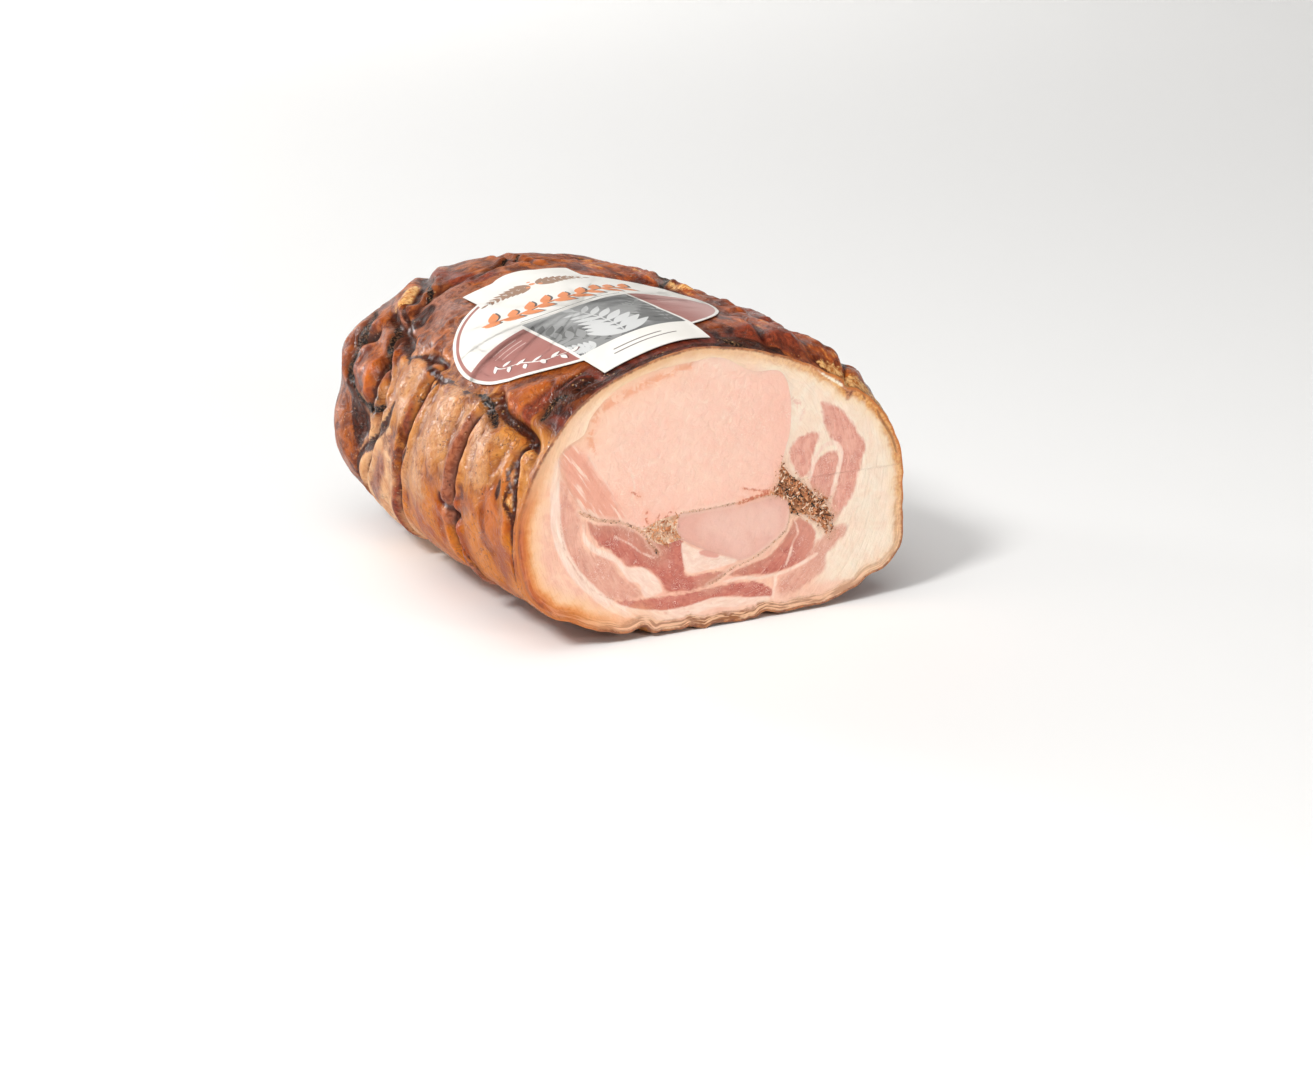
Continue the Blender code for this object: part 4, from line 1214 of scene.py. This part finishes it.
def belly_material():
    s = Shade("streaky_belly")
    broad = s.noise(9.0, 4, distortion=0.8)
    s.colour = s.tones(broad, 0.35, 0.65, (248, 202, 174), (240, 184, 160))
    cream = s.tones(broad, 0.3, 0.7, (249, 230, 208), (246, 218, 194))
    s.lay(cream, s.frayed("right_side", 0.3, 0.8, broad, 0.2))
    low = s.tones(broad, 0.3, 0.7, (240, 190, 166), (246, 206, 184))
    s.lay(low, s.frayed("low_side", 0.3, 0.8, broad, 0.4))
    s.lay((249, 222, 192), s.rise(s.mask("cap"), 0.1, 0.8), 0.6)
    fine, middle, layers = meat_layers(s)
    s.lay((226, 158, 136), s.rise(layers, 0.6, 0.72), s.mask("low_side"), 0.6)
    rim_layers(s, fine, middle)
    normal = s.bump(fine, 0.35, 0.6, s.bump(layers, 0.7, 0.6))
    return s.finish(s.plus(s.times(middle, 0.3), 0.28), normal, soft=0.2, coat=0.12)


def loin_material():
    s = Shade("loin_meat")
    broad = s.noise(26.0, 3, distortion=0.5)
    mottle = s.noise(4.5, 4, distortion=0.7)
    s.colour = s.tones(broad, 0.36, 0.64, (250, 208, 187), (246, 198, 177))
    s.lay((248, 192, 172), s.rise(mottle, 0.45, 0.75), 0.5)
    s.lay((254, 222, 202), s.rise(mottle, 0.45, 0.28), 0.5)
    s.lay((248, 194, 158), s.mask("warm_edge"))
    s.lay((247, 188, 168), s.mask("pink_edge"))
    s.lay((255, 232, 214), s.cracks(3.6, 0.02, 2.2), s.rise(broad, 0.46, 0.6), 0.55)
    fine, middle, _ = meat_layers(s)
    normal = s.bump(fine, 0.35, 0.6, s.bump(mottle, 0.8, 0.45))
    return s.finish(s.plus(s.times(middle, 0.25), 0.32), normal, soft=0.25, coat=0.12)


def fillet_material():
    s = Shade("fillet_meat")
    broad = s.noise(12.0, 3, distortion=0.5)
    s.colour = s.tones(broad, 0.35, 0.65, (238, 193, 176), (232, 182, 166))
    s.lay((228, 170, 152), s.mask("pink_edge"))
    fine, middle, _ = meat_layers(s)
    normal = s.bump(fine, 0.35, 0.6)
    return s.finish(s.plus(s.times(middle, 0.2), 0.3), normal, soft=0.25, coat=0.2)


def herb_material():
    s = Shade("herb_paste")
    fine = s.noise(1.1, 5, distortion=0.8)
    middle = s.noise(2.6, 4, distortion=1.0)
    s.colour = s.tones(middle, 0.36, 0.62, (224, 164, 120), (184, 116, 72))
    s.lay(s.tones(middle, 0.36, 0.62, (250, 216, 186), (236, 186, 150)), s.mask("cream"))
    s.lay((92, 58, 34), s.rise(fine, 0.52, 0.62), s.rise(s.mask("cream"), 1.3, 0.0), 0.85)
    s.lay((244, 216, 188), s.rise(s.noise(1.5, 3), 0.6, 0.66))
    normal = s.bump(fine, 0.6, 0.7, s.bump(middle, 1.2, 0.9))
    return s.finish(s.plus(s.times(middle, 0.3), 0.4), normal, soft=0.1)


def crumb_material():
    s = Shade("herb_crumbs")
    kind = s.mask("kind")
    s.colour = s.tones(kind, 0.16, 0.18, (52, 34, 20), (140, 82, 44))
    for low, paint in ((0.32, (188, 116, 70)), (0.54, (224, 160, 114)), (0.80, (252, 224, 196))):
        s.lay(paint, s.rise(kind, low, low + 0.02))
    shade = s.noise(0.8, 3)
    s.lay((190, 140, 104), shade, 0.35, kind="MULTIPLY")
    return s.finish(s.plus(s.times(shade, 0.3), 0.35), s.bump(shade, 0.3, 0.6))


def skin_faces(rows, pole):
    """Faces of the skin's grid, and the fan that closes its far end."""
    i = np.arange(SKIN_COLUMNS)
    k = (i + 1) % SKIN_COLUMNS
    faces = []
    for start in range(0, (rows - 1) * SKIN_COLUMNS, SKIN_COLUMNS):
        far = start + SKIN_COLUMNS
        faces += np.stack([start + i, start + k, far + k, far + i], 1).tolist()
    return faces + np.stack([far + i, far + k, np.full(SKIN_COLUMNS, pole)], 1).tolist()


def wall_faces(front, back, count):
    """Faces that join two rings of points, and the one that closes the second."""
    i = np.arange(count)
    k = (i + 1) % count
    faces = np.stack([front + i, front + k, back + k, back + i], 1).tolist()
    return faces + [list(range(back, back + count))]


def belly_cut(outline, hole):
    """The belly's cut face: its points but the outline's, triangles, and masks of all points."""
    spots, tris = filled_face(outline, hole)
    marks = face_masks(spots)
    gap = line_gap(spots, outline)
    marks["rim"] = np.where(gap < marks["rim"] + 4, gap, marks["rim"])
    inner = spots[len(outline):]
    rise = 0.25 * lattice_noise(flat_points(inner), 9.0, 31)
    rise = rise + 0.15 * lattice_noise(flat_points(inner), 2.6, 32)
    rise = rise + 0.2 * smooth(nearest_path(inner, STRIPES["seam"]), -1.0, 0.6)
    lip = 0.5 * np.exp(-(marks["rim"][len(outline):] / 2.0) ** 2)
    depth = smooth(line_gap(inner, hole), 0, 1.5) * (0.2 + rise - lip)
    return cut_points(inner, depth), tris, marks


def joined_masks(skin, cut, count, ring, face):
    """Masks of the skin and of the cut over all points, where the first ring is in both.

    Face gives the first and last of the cut's own points."""
    whole = {}
    for key in sorted(set(skin) | set(cut)):
        values = np.zeros(count)
        if key in cut:
            values[:ring] = cut[key][:ring]
            values[face[0]:face[1]] = cut[key][ring:]
        if key in skin:
            values[:face[0]] = skin[key].reshape(-1)
        whole[key] = values
    whole["rim"][:ring] = 0.0
    return whole


def build_belly(lines):
    angles = skin_angles()
    rows = skin_rows(angles)
    skin, skin_marks = skin_surface(lean(angles, rows), rows)
    outline = skin[0][:, [0, 2]]
    hole = offset(lines["space"], SEAM_WIDTH / 2)
    cut, tris, cut_marks = belly_cut(outline, hole)
    ring = len(outline)
    skin = skin.reshape(-1, 3)
    end, _ = relief(np.array([90.0]), np.array([END_LIMIT]), np.array([[0.0, LENGTH / 2, CENTRE_Z]]))
    pole = (0.0, LENGTH / 2 + end[0], CENTRE_Z)
    back = cut_points(shrink(hole, INNER_DEPTH + GAP), INNER_DEPTH + GAP)
    points = np.vstack([skin, cut, pole, back])
    first, at_pole = len(skin), len(skin) + len(cut)
    faces = skin_faces(len(rows), at_pole)
    slots = [0] * len(faces)
    remap = np.concatenate([np.arange(ring), first + np.arange(len(cut))])
    faces += remap[tris].tolist()
    faces += wall_faces(first, at_pole + 1, len(hole))
    slots += [1] * (len(faces) - len(slots))
    masks = joined_masks(skin_marks, cut_marks, len(points), ring, (first, at_pole))
    piece = make_piece("roast_belly", points, faces, [skin_material(), belly_material()], slots,
                       masks)
    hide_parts("belly")
    return piece


def inner_piece(name, node, outline, material, more_masks, bulge):
    """A piece of the roll whose cut end is finely meshed."""
    outline = offset(outline, -SEAM_WIDTH / 2)
    spots, tris = filled_face(outline)
    n = len(outline)
    edge = line_gap(spots, outline)
    front = cut_points(spots, smooth(edge, 0, 1.5) * bulge(flat_points(spots)))
    rear = cut_points(shrink(outline, INNER_DEPTH), INNER_DEPTH)
    faces = tris.tolist() + wall_faces(0, len(front), n)
    masks = face_masks(spots)
    masks.update(more_masks(spots, edge))
    masks = {key: np.append(value, np.zeros(n)) for key, value in masks.items()}
    piece = make_piece(name, np.vstack([front, rear]), faces, [material], None, masks)
    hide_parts(node)
    return piece


def loin_masks(p, edge):
    x, z = p.T
    return {
        "warm_edge": 0.8 * smooth(-x + 0.5 * z, 60, 100) * np.exp(-edge / 9.0),
        "pink_edge": 0.7 * np.maximum(smooth(x, 8, 40), 0.8 * np.exp(-(z - 60) / 7.0)),
    }


def fillet_masks(p, edge):
    return {"pink_edge": np.clip(np.exp(-edge / 2.5) + smooth(-p[:, 0], 0, 20), 0, 0.7)}


def herb_masks(p, edge):
    return {"cream": smooth(-p[:, 0], 0, 10)}


def meat_bulge(p):
    return 0.2 + 0.2 * lattice_noise(p, 14.0, 51) + 0.12 * lattice_noise(p, 3.0, 54)


def herb_bulge(p):
    return 0.4 + 0.6 * lattice_noise(p, 3.0, 52) + 0.4 * lattice_noise(p, 1.5, 53)


def rounded_crumb():
    """A small ball of 32 faces as points and faces."""
    points = [np.array(p, float) for p in ((1, 0, 0), (-1, 0, 0), (0, 1, 0), (0, -1, 0), (0, 0, 1),
                                           (0, 0, -1))]
    around = ((0, 2, 4), (2, 1, 4), (1, 3, 4), (3, 0, 4), (2, 0, 5), (1, 2, 5), (3, 1, 5),
              (0, 3, 5))
    middles = {}
    faces = []
    for face in around:
        mids = []
        for a, b in zip(face, face[1:] + face[:1]):
            key = (min(a, b), max(a, b))
            if key not in middles:
                m = points[a] + points[b]
                middles[key] = len(points)
                points.append(m / np.linalg.norm(m))
            mids.append(middles[key])
        faces += [(face[0], mids[0], mids[2]), (face[1], mids[1], mids[0]),
                  (face[2], mids[2], mids[1]), tuple(mids)]
    return np.array(points), faces


def crumb_mesh(rng, spots, sizes, long):
    """Many little rough flakes as one mesh: points and faces."""
    base, around = rounded_crumb()
    points, faces = [], []
    for number, (spot, size, stretch) in enumerate(zip(spots, sizes, long)):
        shape = base * rng.uniform(0.65, 1.25, (len(base), 1)) * size / 2
        shape = shape * (stretch, rng.uniform(0.35, 0.7), rng.uniform(0.5, 1.0))
        shape = shape @ np.array(Matrix.Rotation(rng.normal(0, 0.5), 3, "Z"))
        shape = shape @ np.array(Matrix.Rotation(rng.uniform(0, 6.28), 3, "Y"))
        points.append(shape + spot)
        faces += [[number * len(base) + i for i in face] for face in around]
    return np.vstack(points), faces


def scattered(rng, line, want):
    """Random places inside a closed line."""
    tried = rng.uniform(line.min(0), line.max(0), (want * 8, 2))
    return tried[inside_line(tried, line)][:want]


def build_crumbs(lines):
    rng = np.random.default_rng(7)
    spots, sizes, long, kinds = [], [], [], []
    spread = curve(REGIONS["spread"][0], 4, closed=True)
    left = lines["herb_seasoning_left"]
    for line, want, big, light in ((lines["herb_seasoning_right"], 330, 1.5, 0.0),
                                   (spread, 300, 1.1, 0.1), (offset(spread, 2.5), 60, 0.8, 0.3),
                                   (left, 110, 1.4, 0.45), (offset(left, 2.0), 40, 0.9, 0.3)):
        for x, z in scattered(rng, line, want):
            spots.append((x, -LENGTH / 2 + rng.uniform(-0.3, 0.25), z))
            sizes.append(rng.uniform(0.4, big))
            long.append(rng.uniform(1.0, 3.0))
            kinds.append(light + (1 - light) * rng.uniform(0, 1))
    for width, points in STRIPES["seam"]:
        line = curve(points, 12)
        for x, z in line[rng.integers(0, len(line), int(60 * width))]:
            x, z = np.array([x, z]) + rng.normal(0, 0.9 * width, 2)
            spots.append((x, -LENGTH / 2 + rng.uniform(-0.05, 0.3), z))
            sizes.append(rng.uniform(0.3, 0.75))
            long.append(rng.uniform(1.0, 2.2))
            kinds.append(rng.uniform(0.1, 1.0))
    points, faces = crumb_mesh(rng, np.array(spots), sizes, long)
    masks = {"kind": np.repeat(kinds, len(points) // len(kinds))}
    piece = make_piece("herb_crumbs", points, faces, [crumb_material()], None, masks)
    return piece


def label_material():
    s = Shade("label_print")
    u, disc = s.mask("across"), s.mask("disc")
    ink = s.noise(6.0, 4)
    side = s.rise(s.math("ABSOLUTE", u), PANEL_HALF_WIDTH + 0.5, PANEL_HALF_WIDTH + 0.9)
    s.colour = s.tones(s.noise(20.0, 2), 0.3, 0.7, (238, 234, 227), (231, 227, 219))
    mauve = s.mix(ink, (160, 96, 86), (170, 108, 98))
    # Beyond the panel's negative-across side the mauve is painted lighter: a painted sheen.
    sheened_mauve = s.tones(u, -PANEL_HALF_WIDTH, -56.0, mauve, (196, 152, 146))
    s.lay(sheened_mauve, s.rise(disc, 1.5, 1.9), side, s.rise(s.mask("field"), -0.2, 0.2))
    s.lay((166, 106, 96), s.rise(disc, 1.7, 2.0), s.rise(disc, 3.8, 3.5), side,
          s.rise(u, 20.0, 24.0))
    tone = s.plus(s.times(s.mask("shade"), 0.75), s.times(s.noise(7.0, 4), 0.4))
    grey = s.tones(tone, 0.2, 0.9, (52, 52, 52), (170, 170, 168))
    for name, shade in LEAF_GREYS:
        grey = s.tones(s.mask(name), -0.15, 0.15, grey, (shade, shade, shade - 2))
    s.lay(grey, s.rise(s.mask("plate"), -0.15, 0.15))
    for name, tint in PRINT_COLOURS:
        s.lay(tint, s.rise(s.mask(name), -0.12, 0.12))
    normal = s.bump(s.noise(14.0, 2), 0.6, 0.5)
    return s.finish(s.plus(s.times(ink, 0.12), 0.36), normal, shine=0.35)


def leaf(u, w, base, direction, size, width):
    """How far inside a leaf that grows from a base point."""
    du, dw = u - base[0], w - base[1]
    a = du * np.sin(direction) + dw * np.cos(direction)
    b = du * np.cos(direction) - dw * np.sin(direction)
    edge = width * np.sin(np.pi * np.clip(a / size, 0, 1) ** 0.8)
    return np.minimum(edge - np.abs(b), np.minimum(a, size - a))


def sprig(u, w, base, direction, size, bend):
    """A plain stem with pairs of leaves."""
    steps = 7
    found = np.full(len(u), -FAR_AWAY)
    place = np.array(base, float)
    for k in range(steps):
        far = place + size / steps * np.array([np.sin(direction), np.cos(direction)])
        d, _ = path_distance(np.stack([u, w], 1), [place, far])
        found = np.maximum(found, 0.4 - d)
        length = size * (0.42 - 0.035 * k)
        for side in (-1, 1):
            way = direction + side * 0.85
            found = np.maximum(found, leaf(u, w, place, way, length, 0.17 * length))
        place = far
        direction = direction + bend / steps
    return np.maximum(found, leaf(u, w, place, direction, size * 0.2, size * 0.04))


def label_masks(u, w):
    """Masks of the label's print. Each is how far inside its shape a point is."""
    masks = {name: np.max([sprig(u, w, *one) for one in sprigs], axis=0)
             for name, sprigs in SPRIGS.items()}
    waist = 0.35 - np.abs(w - 6.5 - 0.008 * u**2) - 9.0 * (np.abs(u) > 27)
    masks.update({
        "across": u,
        "disc": LABEL_RADIUS - np.hypot(u, w),
        "field": np.where(u > 0, 3.0 - w, 10.0 - w - 0.02 * (np.abs(u) - 32) ** 2),
        "plate": np.minimum(PANEL_HALF_WIDTH - 1.0 - np.abs(u),
                            np.minimum(w + 55.0, 2.0 + 0.008 * u**2 - w)),
        "shade": 0.5 + 0.3 * np.sin(u / 8.0 + 0.4) * np.cos(w / 12.0) + 0.006 * (w + 26),
        "band": leaf_band(u, w),
        "band_shadow": leaf_band(u + 0.9, w + 0.8),
        "crest_berries": np.max([r - np.hypot(u - cu, w - cw) for cu, cw, r in BERRIES], axis=0),
        "vine": leaf_vine(u, w),
        "vine_shadow": leaf_vine(u + 0.5, w + 0.6),
        "rules": np.maximum(rule_distance(u, w, RULES), waist),
        "pale_rules": rule_distance(u, w, PALE_RULES),
    })
    return masks


def leaf_vine(u, w):
    """A thin stem with small leaves that follows the label's round edge."""
    radius = LABEL_RADIUS - 10.0
    around = np.degrees(np.arctan2(u, w))
    stem = 0.35 - np.abs(np.hypot(u, w) - radius - 1.2 * np.sin(np.radians(around) * 14))
    found = np.where(np.abs(around - 125) < 22, stem, UNMARKED)
    for k, centre in enumerate(np.arange(104, 150, 5.0)):
        a = np.radians(centre)
        base = (radius * np.sin(a), radius * np.cos(a))
        way = a + np.pi / 2 + (0.9 if k % 2 else -0.9)
        found = np.maximum(found, leaf(u, w, base, way, 5.5, 1.2))
    return found


def leaf_band(u, w):
    """A garland of plump leaves on a wavy stem, laid across the label."""
    def middle(across):
        return 21.0 + 0.0055 * across**2 + 1.2 * np.sin(across / 5.0)

    found = np.where(np.abs(u) < 40, 0.9 - np.abs(w - middle(u)), UNMARKED)
    for k in range(18):
        across = 39.0 - 4.4 * k
        way = -0.45 if k % 2 else np.pi + 0.75
        size = 12.5 if k % 3 else 10.0
        found = np.maximum(found, leaf(u, w, (across, middle(across)), way, size, 2.7))
    return found


def rule_distance(u, w, rules):
    """How far inside some thin plain rules."""
    return np.max([np.minimum(half - np.abs(u - middle), 0.45 - np.abs(w - along))
                   for along, half, middle in rules], axis=0)


def rim_directions():
    """Directions round the label that are close together, with all its corners."""
    stops = label_directions()
    fine = []
    for a, b in zip(stops, np.append(stops[1:], stops[0] + 2 * np.pi)):
        b = b if b > a else b + 2 * np.pi
        parts = max(1, int(round((b - a) / LABEL_STEP)))
        fine += list(a + (b - a) * np.arange(parts) / parts)
    return np.array(fine)


def sheet_faces(count, size):
    """Faces of two round sheets of size points each, and of the rim between them."""
    i = np.arange(count)
    k = (i + 1) % count
    faces = []
    for start in (0, size):
        faces += np.stack([np.full(count, start), start + 1 + i, start + 1 + k], 1).tolist()
        for j in range(LABEL_RINGS - 1):
            a = start + 1 + j * count
            faces += np.stack([a + i, a + count + i, a + count + k, a + k], 1).tolist()
    rim = 1 + (LABEL_RINGS - 1) * count
    return faces + np.stack([rim + i, rim + k, rim + k + size, rim + i + size], 1).tolist()


def build_label():
    directions = rim_directions()
    reach = np.array([label_reach((a + np.pi) % (2 * np.pi) - np.pi) for a in directions])
    steps = np.arange(1, LABEL_RINGS + 1) / LABEL_RINGS
    u = np.append(0, np.outer(steps, reach * np.sin(directions)))
    w = np.append(0, np.outer(steps, reach * np.cos(directions)))
    angle, depth = skin_place(u, w)
    base = body(angle, depth)
    normal = body_normal(angle, depth)
    base = base + relief(angle, depth, base)[0][:, None] * normal
    edge = smooth(np.append(0, np.repeat(steps, len(directions))), 0.9, 1.0)
    lift = LABEL_LIFT + 0.5 * edge * (0.5 * lattice_noise(base, 30, 41) + 0.5)
    lower = base + lift[:, None] * normal
    points = np.vstack([lower, lower + LABEL_THICKNESS * normal])
    masks = {key: np.tile(value, 2) for key, value in label_masks(u, w).items()}
    piece = make_piece("paper_label", points, sheet_faces(len(directions), len(u)),
                       [label_material()], None, masks)
    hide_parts("label")
    return piece


def build_stage():
    """A plain floor that bends up into a backdrop, in metres."""
    mesh = bpy.data.meshes.new("floor")
    bends = np.radians(90.0 * np.arange(FLOOR_BENDS + 1) / FLOOR_BENDS)
    curved = [(2.6 + 0.8 * np.sin(a), 0.8 - 0.8 * np.cos(a)) for a in bends]
    profile = [(-3.0, 0.0), *curved, (3.4, 3.0)]
    points = [(x, y, z) for y, z in profile for x in (-4.0, 4.0)]
    faces = [[i, i + 1, i + 3, i + 2] for i in range(0, len(points) - 2, 2)]
    mesh.from_pydata(points, [], faces)
    floor = bpy.data.objects.new("floor", mesh)
    bpy.context.scene.collection.objects.link(floor)
    s = Shade("plain_floor")
    s.colour = linear(FLOOR_COLOUR)
    mesh.materials.append(s.finish(0.7))
    for face in mesh.polygons:
        face.use_smooth = True
    return floor


def add_lamp(name, kind, power, way):
    """A lamp of a kind that faces a way, which its caller places and sizes."""
    light = bpy.data.lights.new(name, kind)
    light.energy = power
    lamp = bpy.data.objects.new(name, light)
    bpy.context.scene.collection.objects.link(lamp)
    lamp.rotation_euler = way.to_track_quat("-Z", "Y").to_euler()
    return lamp


def build_lights():
    for name, place, target, size, power in LAMPS:
        lamp = add_lamp(name, "AREA", power, Vector(target) - Vector(place))
        lamp.location = place
        lamp.data.shape = "RECTANGLE"
        lamp.data.size, lamp.data.size_y = size
    sky = add_lamp("sky", "SUN", SKY_POWER, Vector(SKY_WAY))
    sky.data.angle = np.radians(SKY_WIDTH)
    sky.visible_glossy = False
    world = bpy.data.worlds.new("studio")
    world.use_nodes = True
    background = world.node_tree.nodes["Background"]
    background.inputs[0].default_value = (1, 1, 1, 1)
    background.inputs[1].default_value = WORLD_POWER
    bpy.context.scene.world = world


def build_camera():
    data = bpy.data.cameras.new("photo_view")
    data.lens = CAMERA_LENS
    data.sensor_fit = "HORIZONTAL"
    data.sensor_width = 36.0
    camera = bpy.data.objects.new("photo_view", data)
    bpy.context.scene.collection.objects.link(camera)
    camera.location = CAMERA_PLACE
    look = Vector(CAMERA_LOOK).normalized()
    side = look.cross(Vector((0, 0, 1))).normalized()
    turned = Matrix((side, side.cross(look), -look)).transposed()
    camera.rotation_euler = turned.to_euler()
    bpy.context.scene.camera = camera


def main():
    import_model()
    lines = inner_lines(8)
    build_belly(lines)
    inner_piece("roast_loin", "loin", lines["loin"], loin_material(), loin_masks,
                meat_bulge)
    inner_piece("roast_fillet", "tenderloin", lines["tenderloin"],
                fillet_material(), fillet_masks, meat_bulge)
    herbs = herb_material()
    for side in ("right", "left"):
        node = f"herb_seasoning_{side}"
        inner_piece(f"herbs_{side}", node, lines[node], herbs, herb_masks,
                    herb_bulge)
    build_crumbs(lines)
    build_label()
    build_stage()
    build_lights()
    build_camera()
    bpy.context.scene.view_settings.view_transform = "Standard"


main()
